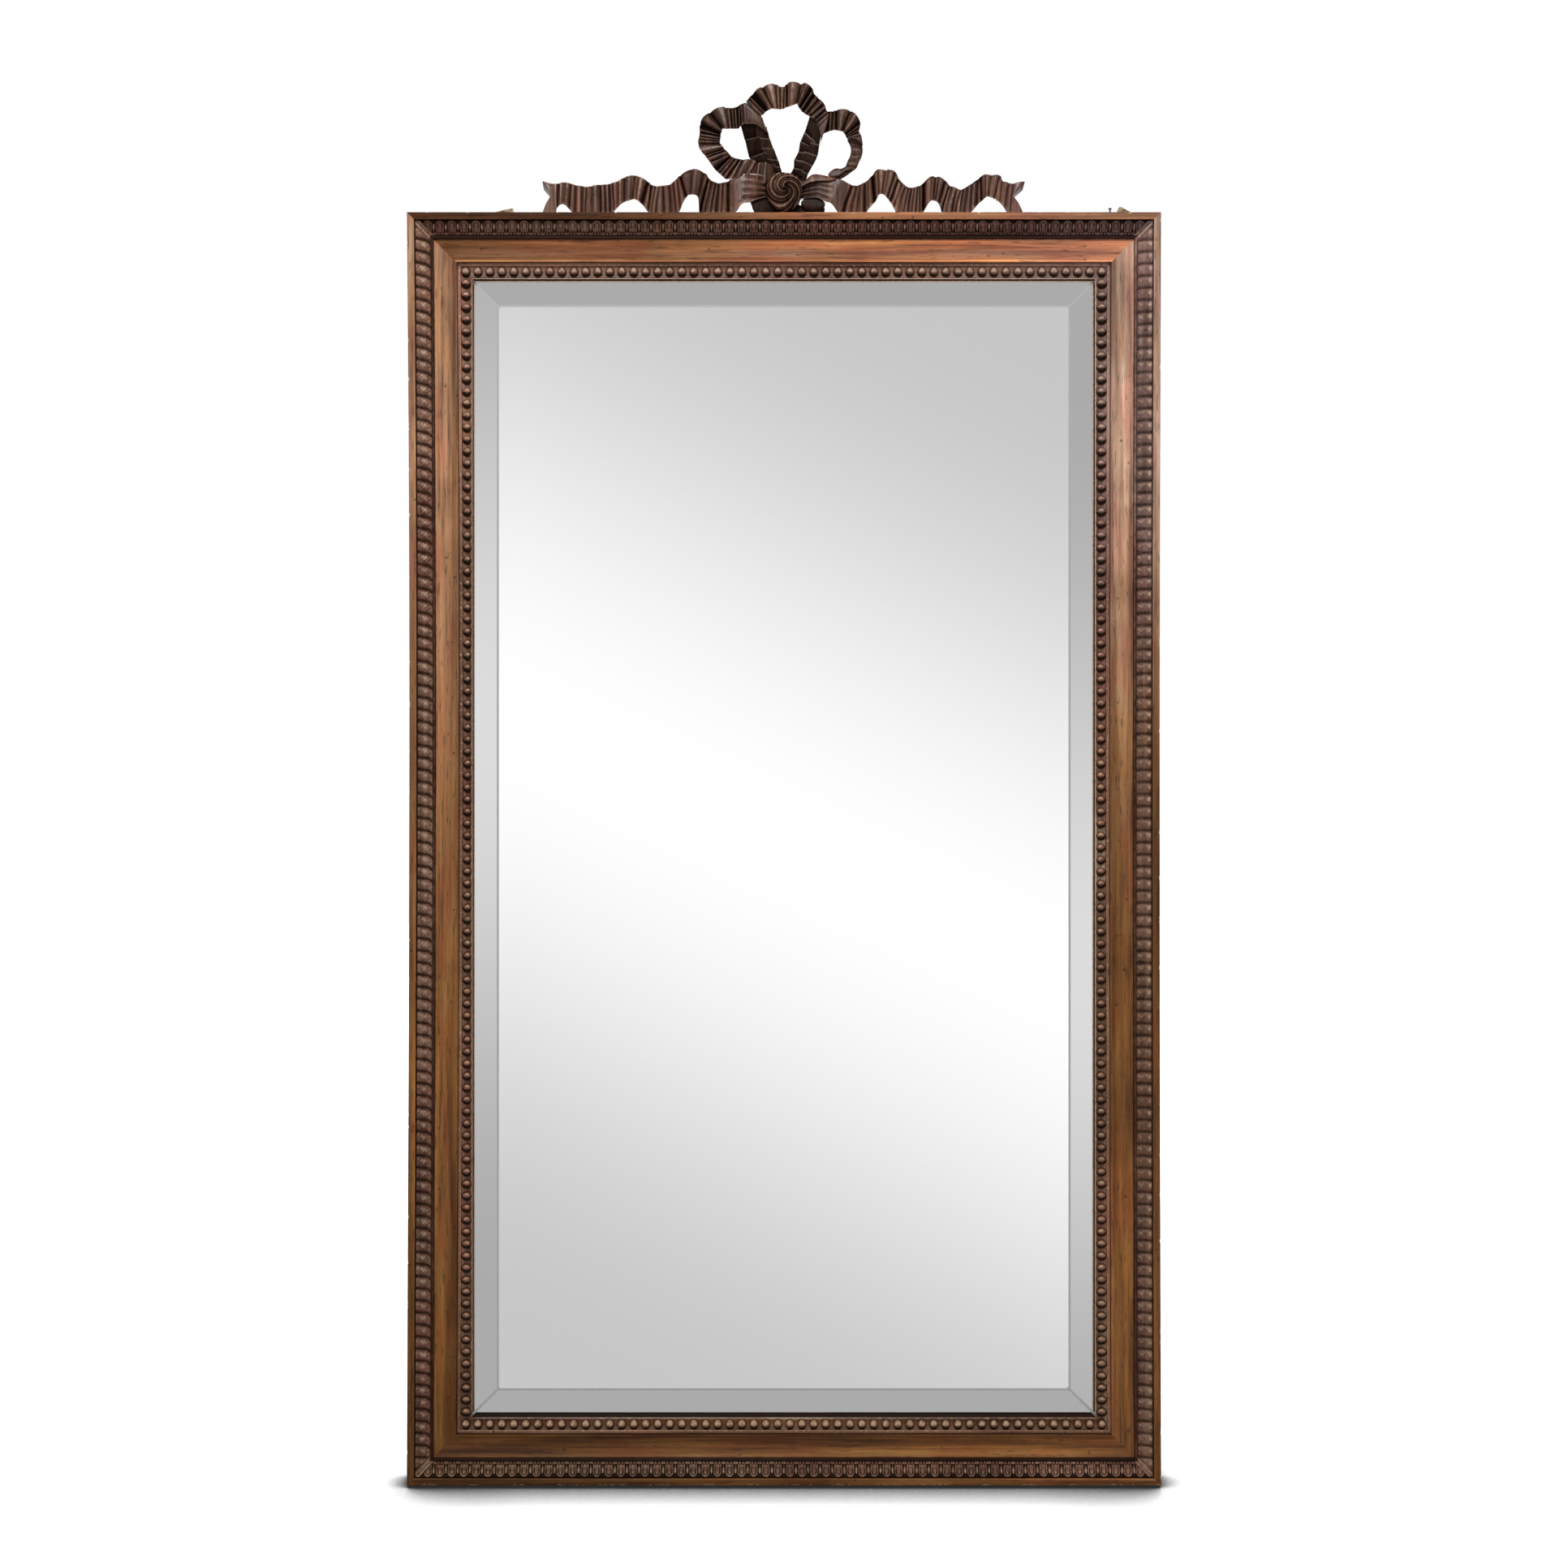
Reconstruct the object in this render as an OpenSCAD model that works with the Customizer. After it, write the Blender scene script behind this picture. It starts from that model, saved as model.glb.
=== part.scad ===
// A walnut pier mirror: a mitred, carved frame round a bevelled mirror plate, a pierced
// ribbon-bow crest on its top edge, a panelled back, and two swivelling brass hanging plates.
// Millimetres. X runs right, Y runs back into the wall and Z runs up; the front faces -Y.
// The origin is the bottom centre of the frame's back face, on the wall's plane.
// "Depth" always means the distance behind the frame's front face, and "in" means the
// distance from the frame's outer edge towards the glass.

/* [Frame] */
// Width over the frame
frame_w = 930; // [860:1:1100]
// Height of the frame without its crest
frame_h = 1570; // [1300:1:1900]
// Thickness of the frame from front to back
frame_d = 47; // [45:0.5:56]

/* [Moulding widths, from the outer edge in] */
// Width of the plain outer strip
strip_w = 8.7; // [7:0.1:12]
// Radius of the outer strip's front arris
strip_round = 1.5; // [0.5:0.1:3]
// Width of the carved leaf band
leaf_w = 21.9; // [19:0.1:26]
// Width of the quirk beside the outer strip
quirk_w = 2.1; // [1.5:0.1:3]
// Width of the leaf band's inner fillet
fillet_w = 2.5; // [1.5:0.1:4]
// Width of the plain hollow
cove_w = 28; // [24:0.5:34]
// Width of the hollow's inner nose
nose_w = 0.9; // [0.6:0.1:2]
// Width of the pearl strip
pearl_w = 18.8; // [17:0.1:22]
// Width of the flat beside the pearls
pearl_flat_w = 4.3; // [3:0.1:5]
// Distance from the flat to the pearls' centre line
pearl_in = 6.2; // [5.9:0.1:7]
// Width of the sloping sight edge
sight_w = 2.8; // [1.5:0.1:4]

/* [Moulding depths, behind the front face] */
// Depth of the quirk's floor
quirk_depth = 3.7; // [3:0.1:5]
// Depth of the leaf band at its outer, high side
leaf_high_depth = 2.3; // [1:0.1:2.9]
// Depth of the leaf band at its inner, low side
leaf_low_depth = 6.9; // [5:0.1:8]
// Depth of the seat that the leaf band is glued to
leaf_seat_depth = 12; // [9.5:0.1:13]
// Depth at which the hollow starts, beside the leaf band
cove_start_depth = 14; // [13:0.1:15]
// Depth of the hollow's inner nose
nose_depth = 10; // [8:0.1:12]
// How far the hollow sinks below the line between its two edges
cove_sag = 4; // [2:0.1:5]
// Depth of the flat beside the pearls
pearl_flat_depth = 15.8; // [14:0.1:16.5]
// Depth of the channel that the pearls stand in
pearl_floor_depth = 18.2; // [17:0.1:18.5]
// Depth of the pearls' crowns
pearl_crown_depth = 12.6; // [12:0.1:14]
// Depth of the sight edge
sight_depth = 18.7; // [18.5:0.1:20]
// Depth of the seat that the pearl strip is glued to
pearl_seat_depth = 22; // [21:0.1:23]
// Depth of the shoulder that the mirror plate lies against
shoulder_depth = 26.2; // [25:0.1:27]

/* [Pearls] */
// Radius of a pearl
pearl_r = 5.7; // [5:0.1:5.8]
// Nearest spacing of the pearls, adjusted to fill each side
pearl_pitch = 14.9; // [13:0.1:18]

/* [Rebates and corner keys] */
// How far the frame covers the edge of the plate's rebate
cover_w = 8.3; // [7:0.1:10]
// How far the pearl strip stands past the carcass lip under it
sight_step = 0.5; // [0.2:0.1:1]
// Width of the ledge that the back is screwed to
ledge_w = 18; // [16:0.5:22]
// Length of a key across a mitre
key_l = 60; // [40:1:62]
// Width of a key
key_w = 12; // [8:0.5:16]
// Thickness of a key
key_t = 8; // [5:0.5:10]
// Gap all round a key in its housing
key_gap = 0.2; // [0.1:0.05:0.4]

/* [Mirror plate] */
// Thickness of the glass
glass_t = 5; // [4.5:0.1:6]
// Width of the ground bevel
bevel_w = 40; // [25:0.5:50]
// How much thinner the glass is at its edge
bevel_drop = 3.5; // [2:0.1:4]
// Gap between plate and rebate at each side
side_gap = 1; // [0.5:0.1:2]
// Gap between plate and rebate at the top and the bottom
end_gap = 3; // [1.5:0.1:4]
// Thickness of the silvering and its coat of paint
silver_t = 0.3; // [0.2:0.05:0.5]
// Gap between the plate's bevel and the shoulder
plate_gap = 0.05; // [0.02:0.01:0.2]

/* [Blocks round the plate] */
// Length of a block
block_l = 60; // [40:1:80]
// Width of a block on the plate
block_w = 12; // [9:0.5:16]
// Width of a block's chamfered back
block_back_w = 4; // [2:0.5:8]
// Blocks along the top and along the bottom
blocks_across = 3; // [2:1:4]
// Blocks along each side
blocks_up = 5; // [3:1:7]
// Length of a setting block under the plate
setting_l = 40; // [25:1:60]
// Gap in front of the back
block_gap = 0.2; // [0.1:0.05:0.5]

/* [Panelled back] */
// Thickness of the back's stiles and rails
back_t = 12; // [10:0.5:13]
// How far the back lies below the frame's back face
back_sunk = 0.5; // [0.3:0.1:2]
// Gap round the back in its rebate
back_gap = 1; // [0.5:0.1:2]
// Width of the back's stiles
back_stile_w = 64; // [50:1:80]
// Width of the back's rails
back_rail_w = 66; // [50:1:80]
// Thickness of the panels' edges
panel_edge_t = 4; // [3:0.1:5]
// Thickness of the panels' raised fields
panel_t = 8; // [6:0.1:9]
// Depth of the groove round each panel
groove_deep = 10; // [7:0.5:14]
// Width of a panel's bare margin round its field
panel_margin = 22; // [15:1:35]
// Gap at each face of a tongue in its groove
groove_gap = 0.15; // [0.1:0.05:0.3]
// Room at a panel's edge for the wood to move
panel_gap = 2; // [1:0.1:3]

/* [Wood screws] */
// Radius of a screw's shank
screw_r = 2; // [1.5:0.1:2.4]
// Radius of a countersunk head
screw_head_r = 4; // [3.2:0.1:4.5]
// Depth of a countersunk head
screw_head_t = 2.4; // [1.8:0.1:3]
// Gap round a screw in its hole
screw_gap = 0.1; // [0.05:0.01:0.2]
// How far the back's screws bite into the frame
back_bite = 7.5; // [5:0.1:9]
// Screws up each side of the back
screws_up = 5; // [3:1:7]
// Screws across the top and across the bottom of the back
screws_across = 3; // [2:1:4]

/* [Crest] */
// Width of the crest from tail to tail
crest_w = 597; // [540:1:680]
// Height of the crest above the frame
crest_h = 160; // [140:1:190]
// Depth of the front of the centre loop
centre_loop_depth = 6; // [4:0.5:8]
// Depth of the front of the side loops
side_loop_depth = 8; // [6:0.5:10]
// Depth of the front of the tails
tail_depth = 10; // [8:0.5:12]
// Depth of the front of the stems behind the loops
stem_depth = 18; // [15:0.5:21]
// Depth of the joint between the knot and its block
knot_joint_depth = 22; // [21:0.5:24]
// Depth of the back of the crest
crest_back_depth = 36; // [34:0.5:38]
// Thickness of the loops
loop_t = 22; // [16:0.5:24]
// Thickness of the tails
tail_t = 24; // [18:0.5:24]
// Radius of the knot
knot_r = 21.5; // [19:0.1:24]
// How far the knot's face domes forward of the loops
knot_dome = 7; // [4:0.5:8]
// How far the ribbon's edges bulge between pleats
ruffle = 1.8; // [0:0.1:2.5]

/* [Crest fixings] */
// Width of the batten behind the knot
batten_w = 36; // [24:1:40]
// Height of the batten above the frame
batten_up = 38; // [30:1:42]
// Length of the batten down the top rail
batten_down = 40; // [30:1:46]
// Gap round the batten in its housing
batten_gap = 0.2; // [0.1:0.05:0.5]
// Radius of a dowel
dowel_r = 3; // [2:0.1:4]
// Length of a dowel
dowel_l = 26; // [16:1:30]
// Gap round a dowel
dowel_gap = 0.05; // [0.03:0.01:0.15]
// Distance from the frame's top edge to the batten's screws, up and down
batten_screw_out = 12; // [9:0.5:14]
// Distance between the two screws above and the two below
batten_screw_step = 16; // [12:0.5:18]
// How far a batten screw bites past the batten
batten_bite = 11; // [8:0.5:13]

/* [Hanging plates] */
// Width of a hanging plate
hanger_w = 24; // [18:0.5:28]
// Distance from a plate's pivot to its square end
hanger_l = 40; // [36:0.5:46]
// Thickness of a plate
hanger_t = 2; // [1.5:0.1:3]
// Corner radius of the square end
hanger_corner_r = 2; // [1:0.1:4]
// Radius of the hole that hangs on the wall screw
hanger_hole_r = 3; // [2:0.1:4]
// Distance from that hole's centre to the square end
hanger_hole_in = 8; // [6:0.5:10]
// Distance from the frame's left edge to the left pivot
left_pivot_in = 124; // [70:1:160]
// Distance from the frame's right edge to the right pivot
right_pivot_in = 55; // [50:1:160]
// Distance from the frame's top edge down to the left pivot
left_pivot_down = 32.5; // [28:0.5:34]
// Distance from the frame's top edge down to the right pivot
right_pivot_down = 29.5; // [28:0.5:34]
// Lean of the left plate, its top towards the left
left_lean = 12; // [0:1:40]
// Lean of the right plate, its top towards the right
right_lean = 28; // [0:1:40]
// Radius of a pivot screw's shank
pivot_r = 2.3; // [1.8:0.1:3]
// Radius of a pivot screw's round head
pivot_head_r = 5; // [4:0.1:6]
// Height of that head
pivot_head_t = 2.2; // [1.5:0.1:3]
// Length of a pivot screw in the wood
pivot_bite = 22; // [14:0.5:24]
// Running gap round a pivot
pivot_gap = 0.08; // [0.05:0.01:0.1]
// Gap at each face of a plate
plate_face_gap = 0.3; // [0.2:0.05:0.5]

/* [Old nail in the top edge] */
// Radius of the nail's shank
nail_r = 1.1; // [0.8:0.1:1.5]
// Radius of the nail's head
nail_head_r = 2.3; // [1.8:0.1:3]
// Height that the nail stands above the frame
nail_up = 8.9; // [5:0.1:12]
// Length of the nail in the wood
nail_bite = 18; // [10:1:25]
// Distance from the frame's right edge to the nail
nail_in = 56; // [40:1:120]
// Distance of the nail in front of the back face
nail_forward = 4; // [3:0.5:8]

/* [Hidden] */
$fn = 64;

WALNUT = [0.45, 0.29, 0.18];
WALNUT_DARK = [0.30, 0.20, 0.14];
PINE = [0.66, 0.52, 0.36];
GLASS = [0.80, 0.83, 0.84];
PAINT = [0.36, 0.30, 0.26];
BRASS = [0.66, 0.57, 0.36];
IRON = [0.36, 0.35, 0.33];

cut = 1;  // how far a cutter runs past the face it opens

// Distances in from the outer edge
leaf_in = strip_w;
cove_in = leaf_in + leaf_w;
nose_in = cove_in + cove_w;
pearl_strip_in = nose_in + nose_w;
sight_in = pearl_strip_in + pearl_w;
rebate_in = sight_in - cover_w;
back_in = rebate_in - ledge_w;
pearl_line_in = pearl_strip_in + pearl_flat_w + pearl_in;

// Depths of the plate and of what lies behind it
glass_front_depth = shoulder_depth + plate_gap - bevel_drop * (1 - (cover_w - side_gap) / bevel_w);
glass_back_depth = glass_front_depth + glass_t;
silver_back_depth = glass_back_depth + silver_t;
back_front_depth = frame_d - back_sunk - back_t;
plate_w = frame_w - 2 * (rebate_in + side_gap);
plate_h = frame_h - 2 * (rebate_in + end_gap);

// The hollow is one arc through its two edges
cove_chord = norm([cove_w, cove_start_depth - nose_depth]);
cove_r = (cove_chord * cove_chord / 4 + cove_sag * cove_sag) / (2 * cove_sag);
cove_centre_in = cove_in + cove_w / 2
    - (cove_r - cove_sag) * (cove_start_depth - nose_depth) / cove_chord;
cove_centre_depth = (cove_start_depth + nose_depth) / 2 - (cove_r - cove_sag) * cove_w / cove_chord;

// The leaf band's face is an S of two equal arcs
leaf_face_w = leaf_w - quirk_w - fillet_w;
leaf_drop = leaf_low_depth - leaf_high_depth;
leaf_arc_r = (pow(leaf_face_w, 2) + pow(leaf_drop, 2)) / (4 * leaf_drop);
leaf_swing = asin(leaf_face_w / 2 / leaf_arc_r);
leaf_steps = 6;  // straight pieces in each arc

// The back
back_w = frame_w - 2 * (back_in + back_gap);
back_h = frame_h - 2 * (back_in + back_gap);
back_low = back_in + back_gap;
back_inner_w = back_w - 2 * back_stile_w;
tongue_l = groove_deep - panel_gap;
bay_h = (back_h - 4 * back_rail_w) / 3;
back_screw_l = back_t + back_bite;
back_screw_in = back_in + ledge_w / 2;

// The crest is drawn as ribbons on a grid with its zero at the middle of the frame's top
// edge, and then stretched to crest_w and crest_h. A ribbon is a list of points along its
// middle, each with half the ribbon's width there. The pieces in front cut the ones behind.
grid_h = 158;       // height of the drawing, at the top of the centre loop
ribbon_steps = 5;   // straight pieces between two points of a path
tail_pleats = 14;
CENTRE_LOOP = [[-37, 103, 15], [-37, 121, 14], [-23, 137, 15], [-3, 140, 15], [14, 142, 14],
    [28, 133, 14], [40, 117, 12], [45, 98, 9]];
LEFT_LOOP = [[-40, 118, 14], [-58, 115, 14], [-76, 113, 13], [-89, 102, 13], [-92, 86, 13],
    [-86, 71, 13], [-71, 56, 13], [-50, 49, 13], [-26, 41, 13]];
RIGHT_LOOP = [[45, 110, 14], [61, 111, 13], [75, 110, 12], [85, 98, 10], [89, 79, 8],
    [85, 60, 8], [70, 48, 7], [56, 45, 5]];
LEFT_STEM = [[-37, 104, 16], [-30, 82, 15], [-21, 60, 15], [-12, 40, 14]];
RIGHT_STEM = [[41, 104, 12], [30, 77, 11], [19, 47, 10]];
LEFT_TAIL = [[-16, 24, 13], [-43, 28, 15], [-65, 20, 20], [-83, 15, 16], [-111, 35, 15],
    [-140, 14, 15], [-154, 13, 15], [-186, 29, 13], [-225, 14, 15], [-245, 13, 15],
    [-272, 20, 14], [-298, 17, 18]];
RIGHT_TAIL = [[18, 22, 8], [44, 24, 10], [60, 21, 13], [72, 18, 18], [86, 13, 16], [121, 34, 15],
    [156, 12, 14], [185, 26, 13], [212, 11, 14], [251, 29, 13], [278, 17, 17], [298, 17, 18]];
CURL = [[18, 27, 3], [42, 39, 5], [64, 35, 3]];
KNOT = [1, 24.4];                                    // the knot's centre
NOTCH = [[-11, 0], [11, 31], [11, -31]];             // the swallow-tail cut from a tail's tip
FOLDS = [[-33, 0], [-40, 20], [10, 20], [24, 16], [43, 16], [47.5, 14.6], [50.2, 11.4], [51, 8],
    [50.2, 4.6], [47.5, 1.4], [43, 0]];              // the loose folds at the knot's sides
FEET = [-237, -83, 86, 212];                         // where a dowel stands in each foot
grid_w = tip_of(RIGHT_TAIL)[0] - tip_of(LEFT_TAIL)[0];

function y_at(depth) = depth - frame_d;
function tip_of(path) = [path[len(path) - 1][0], path[len(path) - 1][1]];
function stretched(p) = [p[0] * crest_w / grid_w, p[1] * crest_h / grid_h];
function through(a, b, c, d, t) =
    0.5 * (2 * b + (c - a) * t + (2 * a - 5 * b + 4 * c - d) * t * t + (3 * b - a - 3 * c + d) * t * t * t);
function along(path) = concat(
    [for (i = [0 : len(path) - 2], j = [0 : ribbon_steps - 1])
        through(path[max(i - 1, 0)], path[i], path[i + 1], path[min(i + 2, len(path) - 1)],
            j / ribbon_steps)],
    [path[len(path) - 1]]);
function ribbon_edge(line, side, pleats, upright, plain = false) = [for (k = [0 : len(line) - 1])
    let (
        step = line[min(k + 1, len(line) - 1)] - line[max(k - 1, 0)],
        across = upright ? [0, 1] : [-step[1], step[0]] / norm([step[0], step[1]]),
        bulge = plain ? 0 : ruffle,
        half = line[k][2] + bulge * abs(sin(180 * pleats * k / (len(line) - 1)))
    )
    stretched([line[k][0], line[k][1]] + side * half * across)];
function reversed(list) = [for (i = [len(list) - 1 : -1 : 0]) list[i]];

// ---- shared shapes ----

// A straight piece of moulding of the given length along the bottom edge, with a section
// drawn as [depth - frame_d, in], and cut to 45 degrees at both ends.
module mitred(length, depth) {
    intersection() {
        rotate([90, 0, 90]) linear_extrude(length, center = true) children();
        translate([0, cut, 0]) rotate([90, 0, 0]) linear_extrude(depth + 2 * cut)
            polygon([[-length / 2, 0], [length / 2, 0],
                [length / 2 - sight_in, sight_in], [sight_in - length / 2, sight_in]]);
    }
}

module to_top() { translate([0, 0, frame_h]) mirror([0, 0, 1]) children(); }
module to_left() { translate([-frame_w / 2, 0, frame_h / 2]) rotate([0, 90, 0]) children(); }
module to_right() { mirror([1, 0, 0]) to_left() children(); }

module band(depth_a, depth_b, in_a, in_b) {
    translate([y_at(depth_a), in_a]) square([depth_b - depth_a, in_b - in_a]);
}

module disc(depth, in, r) { translate([y_at(depth), in]) circle(r, $fn = 96); }

// A countersunk screw driven towards -Y with its flat head at the origin.
module wood_screw(length, gap = 0) {
    rotate([90, 0, 0]) {
        cylinder(h = screw_head_t, r1 = screw_head_r + gap, r2 = screw_r + gap);
        cylinder(h = length + gap, r = screw_r + gap);
        translate([0, 0, -gap]) cylinder(h = gap, r = screw_head_r + gap);
    }
}

// ---- frame ----

module carcass_section() {
    difference() {
        union() {
            band(strip_round, frame_d, 0, leaf_in);
            band(0, frame_d, strip_round, leaf_in);
            disc(strip_round, strip_round, strip_round);
            band(leaf_seat_depth, frame_d, leaf_in, cove_in);
            band(nose_depth, back_front_depth, cove_in, pearl_strip_in);
            band(pearl_seat_depth, back_front_depth, cove_in, rebate_in);
            band(pearl_seat_depth, shoulder_depth, rebate_in, sight_in - sight_step);
            band(back_front_depth, frame_d, cove_in, back_in);
        }
        intersection() {
            disc(cove_centre_depth, cove_centre_in, cove_r);
            band(0, frame_d, cove_in, nose_in);
        }
    }
}

module key_bars(gap = 0) {
    bar = [key_l + 2 * gap, key_t + gap + (gap > 0 ? cut : 0), key_w + 2 * gap];
    for (side = [-1, 1], up = [0, 1])
        translate([side * (frame_w - back_in) / 2, 0, up * frame_h + (1 - 2 * up) * back_in / 2])
            rotate([0, side * (1 - 2 * up) * -45, 0])
                translate([-bar[0] / 2, -key_t - gap, -bar[2] / 2]) cube(bar);
}

function back_screw_places() = concat(
    [for (side = [-1, 1], k = [0 : screws_up - 1])
        [side * (frame_w / 2 - back_screw_in),
            back_screw_in + ledge_w + k * (frame_h - 2 * (back_screw_in + ledge_w)) / (screws_up - 1)]],
    [for (up = [0, 1], k = [1 : screws_across])
        [(k / (screws_across + 1) - 0.5) * (frame_w - 2 * back_screw_in),
            up * frame_h + (1 - 2 * up) * back_screw_in]]);

module back_screw_set(gap = 0) {
    for (p = back_screw_places())
        translate([p[0], -back_sunk, p[1]]) wood_screw(back_screw_l, gap);
}

module frame_side(length) {
    mitred(length, frame_d) carcass_section();
}

module frame_left_stile() {
    color(WALNUT) difference() {
        to_left() frame_side(frame_h);
        key_bars(key_gap);
        back_screw_set(screw_gap);
    }
}

module frame_right_stile() {
    color(WALNUT) difference() {
        to_right() frame_side(frame_h);
        key_bars(key_gap);
        back_screw_set(screw_gap);
    }
}

module frame_top_rail() {
    color(WALNUT) difference() {
        to_top() frame_side(frame_w);
        key_bars(key_gap);
        back_screw_set(screw_gap);
        batten_bar(batten_gap);
        crest_dowel_set(dowel_gap);
        batten_screw_set(screw_gap);
        pivot_shanks(screw_gap);
        nail_shank(screw_gap);
    }
}

module frame_bottom_rail() {
    color(WALNUT) difference() {
        frame_side(frame_w);
        key_bars(key_gap);
        back_screw_set(screw_gap);
    }
}

module mitre_keys() {
    color(PINE) key_bars();
}

// ---- carved leaf band ----

// The face falls from the quirk to the fillet in an S of two equal arcs.
function leaf_face(k) = let (
        swing = leaf_swing * k / leaf_steps,
        run = leaf_arc_r * sin(swing),
        fall = leaf_arc_r * (1 - cos(swing))
    ) [run, fall];

module leaf_section() {
    face_in = leaf_in + quirk_w;
    low_in = cove_in - fillet_w;
    polygon(concat(
        [[y_at(leaf_seat_depth), leaf_in], [y_at(quirk_depth), leaf_in]],
        [for (k = [0 : leaf_steps])
            [y_at(leaf_high_depth + leaf_face(k)[1]), face_in + leaf_face(k)[0]]],
        [for (k = [leaf_steps - 1 : -1 : 0])
            [y_at(leaf_low_depth - leaf_face(k)[1]), low_in - leaf_face(k)[0]]],
        [[y_at(leaf_low_depth), cove_in], [y_at(leaf_seat_depth), cove_in]]));
}

module leaf_band(length) { color(WALNUT_DARK) mitred(length, frame_d) leaf_section(); }

module leaf_band_left() { to_left() leaf_band(frame_h); }
module leaf_band_right() { to_right() leaf_band(frame_h); }
module leaf_band_top() { to_top() leaf_band(frame_w); }
module leaf_band_bottom() { leaf_band(frame_w); }

// ---- pearl strip ----

module pearl_section() {
    channel_in = pearl_strip_in + pearl_flat_w;
    band(pearl_flat_depth, pearl_seat_depth, pearl_strip_in, channel_in);
    band(pearl_floor_depth, pearl_seat_depth, channel_in, sight_in - sight_w);
    polygon([
        [y_at(pearl_seat_depth), sight_in - sight_w],
        [y_at(pearl_floor_depth), sight_in - sight_w],
        [y_at(sight_depth), sight_in],
        [y_at(pearl_seat_depth), sight_in]
    ]);
}

module pearl_strip(length) {
    span = length - 2 * pearl_line_in;
    count = round(span / pearl_pitch);
    color(WALNUT_DARK) intersection() {
        union() {
            rotate([90, 0, 90]) linear_extrude(length, center = true) pearl_section();
            for (k = [0 : count])
                translate([k * span / count - span / 2, y_at(pearl_crown_depth + pearl_r),
                    pearl_line_in])
                    sphere(pearl_r, $fn = 32);
        }
        translate([0, y_at(pearl_seat_depth), 0]) rotate([90, 0, 0]) linear_extrude(frame_d)
            polygon([[-length / 2, 0], [length / 2, 0],
                [length / 2 - sight_in, sight_in], [sight_in - length / 2, sight_in]]);
    }
}

module pearl_strip_left() { to_left() pearl_strip(frame_h); }
module pearl_strip_right() { to_right() pearl_strip(frame_h); }
module pearl_strip_top() { to_top() pearl_strip(frame_w); }
module pearl_strip_bottom() { pearl_strip(frame_w); }

// ---- mirror plate ----

// The plate is a block whose four front edges are planed off by tilted cuts.
module mirror_plate() {
    tilt = atan(bevel_drop / bevel_w);
    color(GLASS) difference() {
        translate([-plate_w / 2, y_at(glass_front_depth), frame_h / 2 - plate_h / 2])
            cube([plate_w, glass_t, plate_h]);
        for (side = [-1, 1]) {
            translate([side * (plate_w / 2 - bevel_w), y_at(glass_front_depth), frame_h / 2])
                rotate([0, 0, side * tilt]) bevel_cut(side, plate_h);
            translate([0, y_at(glass_front_depth), frame_h / 2 + side * (plate_h / 2 - bevel_w)])
                rotate([-side * tilt, 0, 0]) rotate([0, -90, 0]) bevel_cut(side, plate_w);
        }
    }
}

// A slab in front of a bevel, reaching well past the plate's edge.
module bevel_cut(side, length) {
    reach = 2 * bevel_w;
    translate([side > 0 ? 0 : -reach, -2 * bevel_drop, -length / 2 - cut])
        cube([reach, 2 * bevel_drop, length + 2 * cut]);
}

module silvering() {
    color(PAINT) translate([-plate_w / 2, y_at(glass_back_depth), frame_h / 2 - plate_h / 2])
        cube([plate_w, silver_t, plate_h]);
}

// ---- softwood blocks that hold the plate ----

module plate_block() {
    rotate([90, 0, 90]) linear_extrude(block_l, center = true)
        polygon([
            [y_at(silver_back_depth), rebate_in],
            [y_at(silver_back_depth), rebate_in + block_w],
            [y_at(back_front_depth - block_gap), rebate_in + block_back_w],
            [y_at(back_front_depth - block_gap), rebate_in]
        ]);
}

module block_row(length, count) {
    for (k = [1 : count])
        translate([(k / (count + 1) - 0.5) * (length - 2 * rebate_in), 0, 0]) plate_block();
}

module plate_blocks() {
    edge_t = glass_t - bevel_drop;
    color(PINE) {
        block_row(frame_w, blocks_across);
        to_top() block_row(frame_w, blocks_across);
        to_left() block_row(frame_h, blocks_up);
        to_right() block_row(frame_h, blocks_up);
        for (side = [-1, 1])
            translate([side * plate_w / 4 - setting_l / 2, y_at(glass_back_depth) - edge_t, rebate_in])
                cube([setting_l, edge_t, end_gap]);
    }
}

// ---- panelled back ----

panel_mid_depth = back_front_depth + back_t / 2;

module back_bar(x, z, w, h) {
    translate([x, y_at(back_front_depth), z]) cube([w, back_t, h]);
}

// A slab in the middle of the back's thickness: a groove when it has a gap, or a tongue.
module mid_slab(x, z, w, h, gap = 0) {
    translate([x, y_at(panel_mid_depth) - panel_edge_t / 2 - gap, z])
        cube([w, panel_edge_t + 2 * gap, h]);
}

function rail_z(k) = back_low + k * (back_rail_w + bay_h);

module back_stile(side) {
    color(PINE) difference() {
        back_bar(side > 0 ? back_inner_w / 2 : -back_w / 2, back_low, back_stile_w, back_h);
        mid_slab(side > 0 ? back_inner_w / 2 - cut : -back_inner_w / 2 - groove_deep, back_low - cut,
            groove_deep + cut, back_h + 2 * cut, groove_gap);
        back_screw_set(screw_gap);
    }
}

module back_left_stile() { back_stile(-1); }
module back_right_stile() { back_stile(1); }

// A rail with a stub tongue at each end and a groove along each edge that meets a panel.
module back_rail(k) {
    color(PINE) difference() {
        union() {
            back_bar(-back_inner_w / 2, rail_z(k), back_inner_w, back_rail_w);
            mid_slab(-back_inner_w / 2 - tongue_l, rail_z(k), back_inner_w + 2 * tongue_l, back_rail_w);
        }
        if (k > 0)
            mid_slab(-back_w / 2, rail_z(k) - cut, back_w, groove_deep + cut, groove_gap);
        if (k < 3)
            mid_slab(-back_w / 2, rail_z(k) + back_rail_w - groove_deep, back_w, groove_deep + cut, groove_gap);
        back_screw_set(screw_gap);
    }
}

module back_bottom_rail() { back_rail(0); }
module back_lower_rail() { back_rail(1); }
module back_upper_rail() { back_rail(2); }
module back_top_rail() { back_rail(3); }

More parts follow.
